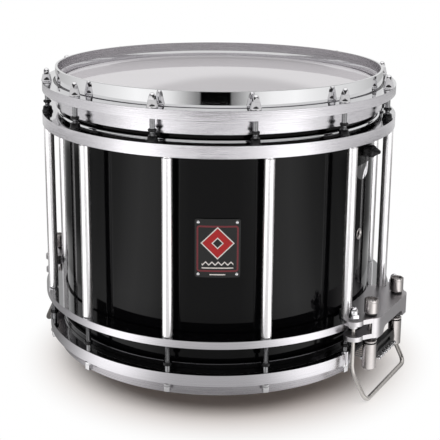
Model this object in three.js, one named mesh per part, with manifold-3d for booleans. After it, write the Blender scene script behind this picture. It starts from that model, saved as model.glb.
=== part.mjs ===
// Marching snare drum: a black shell in a cage of twelve tube posts between two aluminium rings, two
// cast hoops with twelve tuning rods each, a snare unit under each head, and a bracket with a wire bail
// on each side.
// Millimetres, +Z up, origin on the floor under the drum's centre. The snares run along X.
import * as THREE from "three";
import { mergeVertices } from "three/addons/utils/BufferGeometryUtils.js";
import Module from "manifold-3d";

const wasm = await Module();
wasm.setup();

// General
const seatGap = 0.3;
const overrun = 2;
const turn = Math.PI * 2;
const degree = Math.PI / 180;
const weldDistance = 0.0001;
const ringFacets = 48;
const rodFacets = 8;
const holeFacets = 6;
const postFacets = 8;
const knobFacets = 12;
const lobeFacets = 3;

// Shell
const floorClearance = 23;
const shellRadius = 177;
const shellWall = 6;
const shellHeight = 285.7;
const bearingSlope = 5;
const bearingRound = 1.2;

// Heads: film, collar and flesh hoop
const filmThickness = 0.6;
const collarThickness = 0.8;
const collarRound = 1.4;
const fleshDepth = 8.6;
const fleshHeight = 9;
const fleshWall = 3.6;
const fleshOffset = 1.4;

// Cast hoops
const hoopClearance = 0.4;
const lipWidth = 2.2;
const rimSetback = 1.4;
const batterRimHeight = 16.1;
const batterRimWall = 2.9;
const batterFlangeThickness = 10.2;
const batterFlangeEdge = 5.3;
const batterLipRecess = 1.3;
const batterLipHeight = 11.7;
const batterLipChamfer = 2;
const skirtDrop = 16.3;
const skirtWall = 2.4;
const snareRimHeight = 13.5;
const snareRimWall = 4.5;
const snareRimSetback = 3.8;
const snareFlangeThickness = 12.3;
const snareFlangeEdge = 3.6;
const snareLipHeight = 8.7;
const snareLipSlope = 2;

// Ring cage
const rodCount = 12;
const rodStandoff = 17;
const topRodLead = 10.6 * degree;
const postLead = 15 * degree;
const ringClearance = 2;
const topRingEdge = 6;
const topRingThickness = 12.9;
const topRingDrop = 23.9;
const bottomRingEdge = 7;
const bottomRingThickness = 7.9;
const bottomRingLift = 30.4;
const socketRadius = 6;
const socketHeight = 6.5;
const postRadius = 5.5;

// Tuning rods
const rodRadius = 2.7;
const rodClearance = 0.5;
const rodTipRelief = 3;
const rodHeadRadius = 5.8;
const rodWasherHeight = 1.5;
const rodBellHeight = 6;
const rodNeckRadius = 3.9;
const rodSquare = 6.3;
const rodSquareHeight = 7.5;
const topRodEngagement = 11;
const lowWasherRadius = 4.5;
const lowWasherHeight = 3.4;
const lowSquareHeight = 5.9;
const lowRodEngagement = 13;

// Gates in the snare hoop, where the snares come out
const gateHalfWidth = 32;
const gateHeight = 18;
const flangeCutHalfWidth = 44;
const flangeCutSetback = 3.5;
const gateBossRadius = 5;
const gateBossHeight = 2.2;

// Snare brackets
const postToScrew = 12.5;
const postToLeg = 8.2;
const screwReach = 16.5;
const legReach = 5.6;
const bracketEdge = 11.5;
const bracketClearance = 3;
const bracketInnerSpan = 13 * degree;
const bracketTopThickness = 5.2;
const bracketLowerThickness = 5;
const bracketDepth = 22.1;
const bracketWall = 5.5;
const bracketShelfReach = 6.5;
const bracketShelfHalfWidth = 45;
const archTopHalfWidth = 22;
const archSideHalfWidth = 29;
const archRise = 7.5;
const archSideRise = 2;
const lobeSweep = 60 * degree;
const earRadius = 10.5;
const earStart = -10 * degree;
const earEnd = 200 * degree;
const screwBossRadius = 8;
const screwBossDrop = 2.9;
const legBossRadius = 5;
const legBossDrop = 4.4;

// Height screws
const screwRadius = 2.7;
const screwEngagement = 20;
const heightKnobRadius = 7.4;
const heightKnobFlute = 0.6;
const heightKnobFlutes = 12;
const heightKnobHeight = 15.8;
const heightCollarRadius = 6.6;
const heightCollarHeight = 2;

// Snare unit under the lower head
const sleeveRadius = 6.9;
const sleeveHeight = 32;
const sleeveDrop = 3.6;
const sleeveBoreDepth = 24;
const bridgeThickness = 7;
const bridgeInset = 4.5;
const bridgeHeight = 15.5;
const barDepth = 7;
const barDrop = 3.1;
const barHalfWidth = 28;
const strandScrewRadius = 1.5;
const strandScrewLength = 5;
const strandScrewRise = 2;
const strandFacets = 4;
const strandCount = 10;
const strandPitch = 5;
const strandRadius = 0.6;
const strandGap = 0.7;
const strandPlateLength = 8;
const strandPlateThickness = 2.6;
const strandPlateMargin = 3;

// Bails
const bailWire = 5;
const bailFlat = 0.25;
const bailKneeHeight = 33.5;
const bailSplay = 16.9;
const bailNarrowing = 1.2;
const bailBend = 9;
const bailSteps = 32;
const bailFacets = 4;
const bailClearance = 0.4;
const nutRadius = 6.2;
const nutFacets = 6;
const nutHexHeight = 5.5;
const nutDomeHeight = 7.5;
const nutDomeShares = [[0.76, 0.62], [0.3, 0.97]];

// Badge and vent
const badgeAngle = -60 * degree;
const badgeWidth = 46;
const badgeHeight = 62;
const badgeCorner = 4;
const badgeCornerFacets = 2;
const badgeThickness = 1.2;
const badgeRise = 141.7;
const rivetRadius = 1.6;
const rivetInset = 3.6;
const rivetProud = 0.6;
const rivetFacets = 8;
const ventRise = 129.6;
const ventBore = 3;
const ventBarrel = 4.4;
const ventFlange = 7.15;
const ventRoll = 1.4;
const ventInnerGap = 0.9;

// Snare unit under the batter head, tightened by a knob on the shell
const upperKnobDrop = 61.9;
const upperKnobRadius = 7.2;
const upperKnobFlute = 0.9;
const upperKnobFlutes = 8;
const upperKnobLength = 15;
const upperKnobTip = 6;
const upperKnobTipRadius = 4.6;
const upperKnobNose = 1.6;
const spindleRadius = 2.5;
const spindleInside = 14;
const spindleClearance = 0.4;
const plateThickness = 2.4;
const plateHalfWidth = 20;
const plateRise = 15.3;
const plateFall = 12;
const neckRadius = 5.6;
const guideGap = 0.6;
const guideDepth = 8;
const guideHalfWidth = 30;
const guideFoot = 12;
const guideShelfDepth = 12;
const guideShelfThickness = 3;
const guideShelfDrop = 5.4;
const upperStrandCount = 8;
const upperPlateLength = 9;

// Worked-out levels
const snareFlangeBase = floorClearance + snareRimHeight;
const snareFlangeTop = snareFlangeBase + snareFlangeThickness;
const snareLipTop = snareFlangeBase + snareLipHeight;
const snareFleshBase = snareLipTop + seatGap;
const shellBase = snareFleshBase - fleshDepth;
const shellTop = shellBase + shellHeight;
const batterLipBase = shellTop - fleshDepth + seatGap;
const batterFlangeBase = batterLipBase - batterLipRecess;
const batterFlangeTop = batterFlangeBase + batterFlangeThickness;
const bottomRingBase = snareFlangeTop + bottomRingLift;
const bottomRingTop = bottomRingBase + bottomRingThickness;
const topRingTop = batterFlangeBase - topRingDrop;
const topRingBase = topRingTop - topRingThickness;
const bracketUnderside = bottomRingTop + seatGap;
const bracketTop = bracketUnderside + bracketTopThickness;
const bracketBase = bracketTop - bracketDepth;
const bracketShelf = bracketBase + bracketLowerThickness;
const strandLevel = shellBase - seatGap - filmThickness - strandGap - strandRadius;
const upperStrandLevel = shellTop - strandGap - strandRadius;
const upperKnobLevel = shellTop - upperKnobDrop;

// Worked-out radii and places
const shellInner = shellRadius - shellWall;
const fleshInner = shellRadius + fleshOffset;
const fleshOuter = fleshInner + fleshWall;
const hoopInner = fleshOuter + hoopClearance;
const lipInner = hoopInner - lipWidth;
const rodCircle = shellRadius + rodStandoff;
const postX = rodCircle * Math.cos(postLead);
const postY = rodCircle * Math.sin(postLead);
const screwX = rodCircle + screwReach;
const screwY = postY - postToScrew;
const legX = rodCircle + legReach;
const legY = postY + postToLeg;
const bracketReach = screwX + bracketEdge;
const sleeveTop = bracketBase - screwBossDrop - sleeveDrop;
const sleeveBase = sleeveTop - sleeveHeight;

// Signed volume of a triangle mesh, used to turn its faces outwards
function signedVolume(triangles, points) {
  const [a, b, c] = [0, 1, 2].map(() => new THREE.Vector3());
  let volume = 0;
  for (let i = 0; i < triangles.length; i += 3) {
    a.fromArray(points, triangles[i] * 3);
    b.fromArray(points, triangles[i + 1] * 3);
    c.fromArray(points, triangles[i + 2] * 3);
    volume += a.dot(b.cross(c));
  }
  return volume;
}

// A closed three.js geometry as a solid that can be joined and cut
function solid(geometry) {
  const bare = geometry.clone();
  bare.deleteAttribute("normal");
  bare.deleteAttribute("uv");
  const merged = mergeVertices(bare, weldDistance);
  const points = new Float32Array(merged.attributes.position.array);
  const faces = [];
  const index = merged.index.array;
  for (let i = 0; i < index.length; i += 3) {
    const [a, b, c] = [index[i], index[i + 1], index[i + 2]];
    if (a !== b && b !== c && c !== a) faces.push(a, b, c);
  }
  if (signedVolume(faces, points) < 0) faces.reverse();
  return new wasm.Manifold(new wasm.Mesh({
    numProp: 3, vertProperties: points, triVerts: new Uint32Array(faces),
  }));
}

function join(first, ...others) {
  return others.reduce((whole, other) => whole.add(other), first);
}

function cut(first, ...tools) {
  return tools.reduce((whole, tool) => whole.subtract(tool), first);
}

// A solid back as a three.js geometry
function geometryOf(body) {
  const mesh = body.getMesh();
  const geometry = new THREE.BufferGeometry();
  const points = [];
  for (let i = 0; i < mesh.vertProperties.length; i += mesh.numProp) {
    points.push(...mesh.vertProperties.slice(i, i + 3));
  }
  geometry.setAttribute("position", new THREE.Float32BufferAttribute(points, 3));
  geometry.setIndex([...mesh.triVerts]);
  geometry.computeVertexNormals();
  return geometry;
}

// A profile of [radius, height] points turned round Z; it starts and ends on the axis or closes on itself
function turned(profile, facets) {
  const points = profile.map(([radius, height]) => new THREE.Vector2(radius, height));
  const first = profile[0];
  const last = profile[profile.length - 1];
  if (first[0] > 0 || last[0] > 0) points.push(points[0].clone());
  const geometry = new THREE.LatheGeometry(points, facets);
  geometry.rotateX(turn / 4);
  return solid(geometry);
}

function ring(inner, outer, base, top) {
  return turned([[inner, base], [outer, base], [outer, top], [inner, top]], ringFacets);
}

function rod(radius, base, top, facets = rodFacets) {
  return turned([[0, base], [radius, base], [radius, top], [0, top]], facets);
}

function block(x0, x1, y0, y1, z0, z1) {
  const geometry = new THREE.BoxGeometry(x1 - x0, y1 - y0, z1 - z0);
  geometry.translate((x0 + x1) / 2, (y0 + y1) / 2, (z0 + z1) / 2);
  return solid(geometry);
}

// An outline in X and Y raised from one level to another
function raised(shape, base, top, curveSegments = lobeFacets) {
  const geometry = new THREE.ExtrudeGeometry(shape, {
    depth: top - base, bevelEnabled: false, curveSegments,
  });
  geometry.translate(0, 0, base);
  return solid(geometry);
}

// Turns a body made round Z so that it lies along X
function alongX(body) {
  return body.rotate([0, turn / 4 / degree, 0]);
}

function moved(body, x, y, z = 0) {
  return body.translate([x, y, z]);
}

function spun(body, angle) {
  return body.rotate([0, 0, angle / degree]);
}

function aroundCircle(body, radius, lead) {
  return Array.from({ length: rodCount }, (_, k) => {
    const angle = lead + k * turn / rodCount;
    return spun(moved(body, radius, 0), angle);
  });
}

// A round grip with even flutes
function flutedGrip(radius, flute, flutes, base, top) {
  const shape = new THREE.Shape();
  const corners = flutes * 2;
  for (let k = 0; k < corners; k += 1) {
    const reach = k % 2 ? radius - flute : radius;
    const angle = (k + 0.5) * turn / corners;
    const step = [reach * Math.cos(angle), reach * Math.sin(angle)];
    if (k) shape.lineTo(...step);
    else shape.moveTo(...step);
  }
  return raised(shape, base, top);
}

// Shell, with a vent hole and a hole for the upper snare unit's neck
function makeShell() {
  const tube = turned([
    [shellInner, shellBase + bearingSlope],
    [shellRadius - bearingRound, shellBase],
    [shellRadius, shellBase + bearingRound],
    [shellRadius, shellTop - bearingRound],
    [shellRadius - bearingRound, shellTop],
    [shellInner, shellTop - bearingSlope],
  ], ringFacets);
  const start = shellInner - overrun;
  const end = shellRadius + overrun;
  const vent = alongX(rod(ventBarrel + seatGap, start, end));
  const neck = alongX(rod(neckRadius + seatGap, start, end, knobFacets));
  return cut(tube, moved(vent, 0, 0, shellBase + ventRise), moved(neck, 0, 0, upperKnobLevel));
}

// A head, made for the batter side: film, rounded collar and flesh hoop in one
function makeHead(edge, side) {
  const under = seatGap;
  const over = seatGap + filmThickness;
  const collarInner = shellRadius + seatGap;
  const collarOuter = collarInner + collarThickness;
  const profile = [
    [0, under],
    [collarInner, under],
    [fleshInner, -fleshDepth],
    [fleshInner, -fleshDepth - fleshHeight],
    [fleshOuter, -fleshDepth - fleshHeight],
    [fleshOuter, -fleshDepth],
    [fleshInner + collarThickness, -fleshDepth],
    [collarOuter, over - collarRound],
    [collarOuter - collarRound, over],
    [0, over],
  ];
  return turned(profile.map(([radius, height]) => [radius, edge + side * height]), ringFacets);
}

function rodHoles(base, top, lead) {
  const hole = rod(rodRadius + rodClearance, base - overrun, top + overrun, holeFacets);
  return aroundCircle(hole, rodCircle, lead);
}

function makeBatterHoop() {
  const flangeRadius = rodCircle + batterFlangeEdge;
  const rimInner = lipInner + rimSetback;
  const rimTop = batterFlangeTop + batterRimHeight;
  const lipTop = batterLipBase + batterLipHeight;
  const body = turned([
    [lipInner, batterLipBase],
    [hoopInner, batterLipBase],
    [hoopInner, batterFlangeBase - skirtDrop],
    [hoopInner + skirtWall, batterFlangeBase - skirtDrop],
    [hoopInner + skirtWall, batterFlangeBase],
    [flangeRadius, batterFlangeBase],
    [flangeRadius, batterFlangeTop],
    [rimInner + batterRimWall, batterFlangeTop],
    [rimInner + batterRimWall, rimTop],
    [rimInner, rimTop],
    [rimInner, lipTop + batterLipChamfer],
    [lipInner, lipTop],
  ], ringFacets);
  return cut(body, ...rodHoles(batterFlangeBase, batterFlangeTop, topRodLead));
}

// The lower rim and the flange are cut away at +X and -X, and bosses carry the rods beside each gate
function makeSnareHoop() {
  const flangeRadius = rodCircle + snareFlangeEdge;
  const rimInner = lipInner + snareRimSetback;
  const body = turned([
    [lipInner, snareLipTop],
    [lipInner, snareFlangeBase + snareLipSlope],
    [rimInner, snareFlangeBase],
    [rimInner, floorClearance],
    [rimInner + snareRimWall, floorClearance],
    [rimInner + snareRimWall, snareFlangeBase],
    [flangeRadius, snareFlangeBase],
    [flangeRadius, snareFlangeTop],
    [hoopInner, snareFlangeTop],
    [hoopInner, snareLipTop],
  ], ringFacets);
  const bossTop = snareFlangeTop + gateBossHeight;
  let hoop = body;
  for (const side of [-1, 1]) {
    const gate = block(
      shellRadius - overrun, flangeRadius + overrun, -gateHalfWidth, gateHalfWidth,
      floorClearance - overrun, floorClearance + gateHeight,
    );
    const clearing = block(
      rodCircle - flangeCutSetback, flangeRadius + overrun, -flangeCutHalfWidth, flangeCutHalfWidth,
      snareFlangeBase - overrun, snareFlangeTop + overrun,
    );
    const facing = side < 0 ? turn / 2 : 0;
    hoop = cut(hoop, spun(gate, facing), spun(clearing, facing));
    for (const hand of [-1, 1]) {
      const boss = moved(rod(gateBossRadius, snareFlangeBase, bossTop), postX * side, postY * hand);
      hoop = join(hoop, boss);
    }
  }
  return cut(hoop, ...rodHoles(snareFlangeBase, bossTop, postLead));
}

function makeTopRing() {
  const body = ring(shellRadius + ringClearance, rodCircle + topRingEdge, topRingBase, topRingTop);
  const socket = rod(socketRadius, topRingTop - overrun, topRingTop + socketHeight);
  const sockets = aroundCircle(socket, rodCircle, topRodLead);
  return cut(join(body, ...sockets), ...rodHoles(topRingBase, topRingTop + socketHeight, topRodLead));
}

function makeBottomRing() {
  const body = ring(
    shellRadius + ringClearance, rodCircle + bottomRingEdge, bottomRingBase, bottomRingTop,
  );
  return cut(body, ...rodHoles(bottomRingBase, bottomRingTop, postLead));
}

// A tube post between the rings, bored from below for its tuning rod
function makePost() {
  const base = bottomRingTop + seatGap;
  const top = topRingBase - seatGap;
  const bore = rodRadius + rodClearance;
  const boreTop = base + lowRodEngagement + rodTipRelief;
  return turned([
    [0, boreTop], [bore, boreTop], [bore, base], [postRadius, base], [postRadius, top], [0, top],
  ], postFacets);
}

function squareHead(base, top) {
  const half = rodSquare / 2;
  return block(-half, half, -half, half, base, top);
}

// A batter-side rod: square key end and bell above the flange, shaft down into the top ring's socket
function makeTopRod() {
  const seat = batterFlangeTop + seatGap;
  const tip = topRingTop - topRodEngagement;
  const bellTop = seat + rodWasherHeight + rodBellHeight;
  const shaft = turned([
    [0, tip],
    [rodRadius, tip],
    [rodRadius, seat],
    [rodHeadRadius, seat],
    [rodHeadRadius, seat + rodWasherHeight],
    [rodNeckRadius, bellTop],
    [0, bellTop],
  ], rodFacets);
  return join(shaft, squareHead(bellTop - overrun, bellTop + rodSquareHeight));
}

// A snare-side rod: square key end below the flange, shaft up through the bottom ring into its post
function makeLowRod() {
  const seat = snareFlangeBase - seatGap;
  const tip = bottomRingTop + seatGap + lowRodEngagement;
  const washerBase = seat - lowWasherHeight;
  const shaft = turned([
    [0, washerBase],
    [lowWasherRadius, washerBase],
    [lowWasherRadius, seat],
    [rodRadius, seat],
    [rodRadius, tip],
    [0, tip],
  ], rodFacets);
  return join(shaft, squareHead(washerBase - lowSquareHeight, washerBase + overrun / 2));
}

// Outline of the bracket's end lobes: round the height screw, then round the bail's leg
function traceLobes(shape) {
  shape.absarc(screwX, screwY, bracketEdge, 0, lobeSweep, false);
  shape.absarc(legX, legY, earRadius, earStart, earEnd, false);
}

function traceMirroredLobes(shape) {
  shape.absarc(legX, -legY, earRadius, -earEnd, -earStart, false);
  shape.absarc(screwX, -screwY, bracketEdge, -lobeSweep, 0, false);
}

function bracketTopOutline() {
  const inner = shellRadius + bracketClearance;
  const shape = new THREE.Shape();
  shape.moveTo(bracketReach, -screwY);
  shape.lineTo(bracketReach, screwY);
  traceLobes(shape);
  shape.lineTo(inner * Math.cos(bracketInnerSpan), inner * Math.sin(bracketInnerSpan));
  shape.absarc(0, 0, inner, bracketInnerSpan, -bracketInnerSpan, true);
  traceMirroredLobes(shape);
  return shape;
}

function bracketShelfOutline() {
  const inner = rodCircle + bracketShelfReach;
  const shape = new THREE.Shape();
  shape.moveTo(bracketReach, -screwY);
  shape.lineTo(bracketReach, screwY);
  traceLobes(shape);
  shape.lineTo(inner, bracketShelfHalfWidth);
  shape.lineTo(inner, -bracketShelfHalfWidth);
  traceMirroredLobes(shape);
  return shape;
}

function bracketWallOutline() {
  const within = bracketEdge - bracketWall;
  const shape = new THREE.Shape();
  shape.moveTo(bracketReach, -screwY);
  shape.lineTo(bracketReach, screwY);
  shape.absarc(screwX, screwY, bracketEdge, 0, lobeSweep, false);
  shape.absarc(screwX, screwY, within, lobeSweep, 0, true);
  shape.lineTo(screwX + within, -screwY);
  shape.absarc(screwX, -screwY, within, 0, -lobeSweep, true);
  shape.absarc(screwX, -screwY, bracketEdge, -lobeSweep, 0, false);
  return shape;
}

// The arch under the outer wall, drawn in Y and Z and run out along X
function bracketArch() {
  const low = bracketBase - screwBossDrop - overrun;
  const shape = new THREE.Shape();
  shape.moveTo(archSideHalfWidth, low);
  shape.lineTo(archSideHalfWidth, bracketBase + archSideRise);
  shape.lineTo(archTopHalfWidth, bracketBase + archRise);
  shape.lineTo(-archTopHalfWidth, bracketBase + archRise);
  shape.lineTo(-archSideHalfWidth, bracketBase + archSideRise);
  shape.lineTo(-archSideHalfWidth, low);
  const geometry = new THREE.ExtrudeGeometry(shape, {
    depth: bracketReach - rodCircle + overrun, bevelEnabled: false,
  });
  geometry.rotateX(turn / 4);
  geometry.rotateZ(turn / 4);
  geometry.translate(rodCircle, 0, 0);
  return solid(geometry);
}

// Cast bracket: top plate on the bottom ring, arched outer wall, a shelf under each screw and bail leg
function makeBracket() {
  const boss = rod(screwBossRadius, bracketBase - screwBossDrop, bracketShelf, knobFacets);
  const legBoss = rod(legBossRadius, bracketUnderside - legBossDrop, bracketTop, knobFacets);
  let body = join(
    raised(bracketTopOutline(), bracketUnderside, bracketTop),
    raised(bracketShelfOutline(), bracketBase, bracketShelf),
    raised(bracketWallOutline(), bracketBase, bracketTop),
  );
  const low = bracketBase - screwBossDrop - overrun;
  const high = bracketTop + overrun;
  const postPocket = rod(postRadius + seatGap, bracketUnderside - overrun, high, knobFacets);
  const screwHole = rod(screwRadius + rodClearance, low, high);
  const legHole = rod(bailWire / 2 + bailClearance, low, high);
  for (const hand of [-1, 1]) {
    body = join(body, moved(boss, screwX, screwY * hand), moved(legBoss, legX, legY * hand));
  }
  body = cut(body, bracketArch());
  for (const hand of [-1, 1]) {
    body = cut(
      body,
      moved(postPocket, postX, postY * hand),
      moved(screwHole, screwX, screwY * hand),
      moved(legHole, legX, legY * hand),
    );
  }
  return body;
}

// Knurled knob, collar and the screw that runs down through the bracket into its sleeve
function makeHeightKnob() {
  const tip = sleeveTop - screwEngagement;
  const seat = bracketTop + seatGap;
  const knobBase = seat + heightCollarHeight;
  const screw = rod(screwRadius, tip, knobBase + overrun);
  const collar = rod(heightCollarRadius, seat, knobBase + overrun / 2, knobFacets);
  const grip = flutedGrip(
    heightKnobRadius, heightKnobFlute, heightKnobFlutes, knobBase, knobBase + heightKnobHeight,
  );
  return join(screw, collar, grip);
}

// Two threaded sleeves and the bridge between them, with the bar and screws that hold the strands
function makeSnareBridge() {
  const bore = screwRadius + rodClearance;
  const sleeve = turned([
    [0, sleeveBase],
    [sleeveRadius, sleeveBase],
    [sleeveRadius, sleeveTop],
    [bore, sleeveTop],
    [bore, sleeveTop - sleeveBoreDepth],
    [0, sleeveTop - sleeveBoreDepth],
  ], knobFacets);
  const bridgeX = screwX - bridgeInset;
  const bridgeBase = snareFlangeBase;
  const barBase = bridgeBase - barDrop;
  const reach = screwY - bore - overrun;
  let body = join(
    block(bridgeX, bridgeX + bridgeThickness, -reach, reach, bridgeBase, bridgeBase + bridgeHeight),
    block(bridgeX - overrun, bridgeX - overrun + barDepth, -barHalfWidth, barHalfWidth,
      barBase, bridgeBase + overrun),
  );
  const screwLevel = bridgeBase + strandScrewRise;
  const face = bridgeX + bridgeThickness;
  const strandScrew = alongX(
    rod(strandScrewRadius, face - overrun, face + strandScrewLength, strandFacets),
  );
  for (let k = 0; k < strandCount; k += 1) {
    const y = (k - (strandCount - 1) / 2) * strandPitch;
    body = join(body, moved(strandScrew, 0, y, screwLevel));
  }
  return join(body, moved(sleeve, screwX, screwY), moved(sleeve, screwX, -screwY));
}

// Parallel strands between two end plates, centred on X
function makeStrands(count, halfLength, plateLength, level, below, above) {
  const strandEnd = halfLength - plateLength / 2;
  const strand = alongX(rod(strandRadius, -strandEnd, strandEnd, strandFacets));
  const halfWidth = (count - 1) / 2 * strandPitch + strandPlateMargin;
  let body = null;
  for (const side of [-1, 1]) {
    const near = side * (halfLength - plateLength);
    const far = side * halfLength;
    const plate = block(
      Math.min(near, far), Math.max(near, far), -halfWidth, halfWidth, level - below, level + above,
    );
    body = body ? join(body, plate) : plate;
  }
  for (let k = 0; k < count; k += 1) {
    body = join(body, moved(strand, 0, (k - (count - 1) / 2) * strandPitch, level));
  }
  return body;
}

function makeSnareStrands() {
  const halfLength = screwX - bridgeInset - overrun - seatGap;
  const above = strandRadius + strandGap / 2;
  return makeStrands(
    strandCount, halfLength, strandPlateLength, strandLevel, strandPlateThickness - above, above,
  );
}

// The line of one bail: down from a nut, out at the knee, along the floor and back up
function bailRoute() {
  const footX = legX + bailSplay;
  const footY = legY - bailNarrowing;
  const footZ = bailWire / 2 - bailFlat;
  const corners = [
    [legX, -legY, bracketTop + nutHexHeight],
    [legX, -legY, bailKneeHeight],
    [footX, -footY, footZ],
    [footX, footY, footZ],
    [legX, legY, bailKneeHeight],
    [legX, legY, bracketTop + nutHexHeight],
  ].map((corner) => new THREE.Vector3(...corner));
  const path = new THREE.CurvePath();
  let start = corners[0];
  for (let k = 1; k < corners.length - 1; k += 1) {
    const before = new THREE.Vector3().subVectors(corners[k - 1], corners[k]).setLength(bailBend);
    const after = new THREE.Vector3().subVectors(corners[k + 1], corners[k]).setLength(bailBend);
    const bendStart = before.add(corners[k]);
    const bendEnd = after.add(corners[k]);
    path.add(new THREE.LineCurve3(start, bendStart));
    path.add(new THREE.QuadraticBezierCurve3(bendStart, corners[k], bendEnd));
    start = bendEnd;
  }
  path.add(new THREE.LineCurve3(start, corners[corners.length - 1]));
  return path;
}

function makeBail() {
  const section = new THREE.Shape();
  section.absarc(0, 0, bailWire / 2, 0, turn, false);
  const geometry = new THREE.ExtrudeGeometry(section, {
    steps: bailSteps, extrudePath: bailRoute(), curveSegments: bailFacets,
  });
  const seat = bracketTop + seatGap;
  const nut = turned([
    [0, seat],
    [nutRadius, seat],
    [nutRadius, seat + nutHexHeight],
    ...nutDomeShares.map(([across, up]) => [
      nutRadius * across, seat + nutHexHeight + nutDomeHeight * up,
    ]),
    [0, seat + nutHexHeight + nutDomeHeight],
  ], nutFacets);
  const footX = legX + bailSplay;
  const floor = block(
    legX - bailSplay, footX + bailSplay, -legY - bailSplay, legY + bailSplay, -bailWire, 0,
  );
  return join(cut(solid(geometry), floor), moved(nut, legX, legY), moved(nut, legX, -legY));
}

function roundedPanel(halfWidth, halfHeight, corner) {
  const shape = new THREE.Shape();
  shape.moveTo(halfWidth, -halfHeight + corner);
  shape.absarc(halfWidth - corner, halfHeight - corner, corner, 0, turn / 4, false);
  shape.absarc(-halfWidth + corner, halfHeight - corner, corner, turn / 4, turn / 2, false);
  shape.absarc(-halfWidth + corner, -halfHeight + corner, corner, turn / 2, turn * 3 / 4, false);
  shape.absarc(halfWidth - corner, -halfHeight + corner, corner, turn * 3 / 4, turn, false);
  return shape;
}

// An outline drawn on the shell, across and up, run out along X through the shell's surface
function outlineOnShell(shape, level, thickness, curveSegments) {
  const geometry = new THREE.ExtrudeGeometry(shape, {
    depth: shellWall + thickness + overrun, bevelEnabled: false, curveSegments,
  });
  geometry.rotateX(turn / 4);
  geometry.rotateZ(turn / 4);
  geometry.translate(shellRadius - shellWall, 0, level);
  return solid(geometry);
}

function makeBadge() {
  const level = shellBase + badgeRise;
  const inner = shellRadius + seatGap;
  const skin = ring(inner, inner + badgeThickness, level - badgeHeight, level + badgeHeight);
  const outline = roundedPanel(badgeWidth / 2, badgeHeight / 2, badgeCorner);
  const panel = outlineOnShell(outline, level, badgeThickness, badgeCornerFacets);
  const rivetEnd = inner + badgeThickness + rivetProud;
  let body = skin.intersect(panel);
  const across = badgeWidth / 2 - rivetInset;
  const lean = Math.asin(across / shellRadius);
  const rivet = alongX(rod(rivetRadius, inner + badgeThickness / 2, rivetEnd, rivetFacets));
  for (const hand of [-1, 1]) {
    for (const end of [-1, 1]) {
      const height = level + end * (badgeHeight / 2 - rivetInset);
      body = join(body, spun(moved(rivet, 0, 0, height), lean * hand));
    }
  }
  return spun(body, badgeAngle);
}

function makeVent() {
  const outside = shellRadius + seatGap;
  const inside = shellInner - ventInnerGap;
  return moved(alongX(turned([
    [ventBore, inside - ventRoll],
    [ventFlange - ventRoll, inside - ventRoll],
    [ventFlange - ventRoll, inside],
    [ventBarrel, inside],
    [ventBarrel, outside],
    [ventFlange, outside],
    [ventFlange - ventRoll / 2, outside + ventRoll],
    [ventBore, outside + ventRoll],
  ], rodFacets)), 0, 0, shellBase + ventRise);
}

function shieldOutline() {
  const shape = new THREE.Shape();
  shape.moveTo(plateHalfWidth, plateRise);
  shape.lineTo(-plateHalfWidth, plateRise);
  shape.lineTo(-plateHalfWidth, -plateFall);
  shape.absarc(0, -plateFall, plateHalfWidth, turn / 2, turn, false);
  return shape;
}

// Shield plate outside, neck through the shell and a shelf inside that carries the strands' end
function makeUpperHousing() {
  const outside = shellRadius + seatGap;
  const inside = shellInner - guideGap;
  const band = ring(
    outside, outside + plateThickness,
    upperKnobLevel - plateFall - plateHalfWidth - overrun, upperKnobLevel + plateRise + overrun,
  );
  const shield = outlineOnShell(shieldOutline(), upperKnobLevel, plateThickness, lobeFacets);
  const plate = band.intersect(shield);
  const neck = moved(
    alongX(rod(neckRadius, inside - guideDepth / 2, outside + plateThickness / 2, knobFacets)),
    0, 0, upperKnobLevel,
  );
  const bore = moved(
    alongX(rod(spindleRadius + spindleClearance, inside - guideDepth, outside + plateThickness + overrun)),
    0, 0, upperKnobLevel,
  );
  return cut(join(plate, neck, makeGuide()), bore);
}

// Inner guide: a plate that follows the shell's inside, with a shelf just under the batter head
function makeGuide() {
  const inside = shellInner - guideGap;
  const shelfTop = shellTop - guideShelfDrop;
  const base = upperKnobLevel - guideFoot;
  const skin = ring(inside - guideDepth / 2, inside, base, shelfTop);
  const shelfEnd = inside - guideDepth - guideShelfDepth;
  const window = block(shelfEnd, shellRadius, -guideHalfWidth, guideHalfWidth, base, shelfTop);
  const shelf = block(
    shelfEnd, inside - guideDepth / 2, -guideHalfWidth, guideHalfWidth,
    shelfTop - guideShelfThickness, shelfTop,
  );
  return join(skin.intersect(window), shelf);
}

function makeUpperKnob() {
  const plateFace = shellRadius + seatGap + plateThickness;
  const base = plateFace + seatGap;
  const gripEnd = base + upperKnobLength;
  const grip = flutedGrip(upperKnobRadius, upperKnobFlute, upperKnobFlutes, base, gripEnd);
  const tip = turned([
    [0, gripEnd - overrun],
    [upperKnobTipRadius, gripEnd - overrun],
    [upperKnobTipRadius, gripEnd],
    [upperKnobNose, gripEnd + upperKnobTip],
    [0, gripEnd + upperKnobTip],
  ], knobFacets);
  const spindle = rod(spindleRadius, shellInner - spindleInside, base + overrun);
  return moved(alongX(join(spindle, grip, tip)), 0, 0, upperKnobLevel);
}

function makeUpperStrands() {
  const halfLength = shellInner - guideDepth - guideGap;
  const below = guideShelfDrop - strandGap - strandRadius - seatGap;
  const above = strandRadius + strandGap / 2;
  return makeStrands(
    upperStrandCount, halfLength, upperPlateLength, upperStrandLevel, below, above,
  );
}

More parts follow.
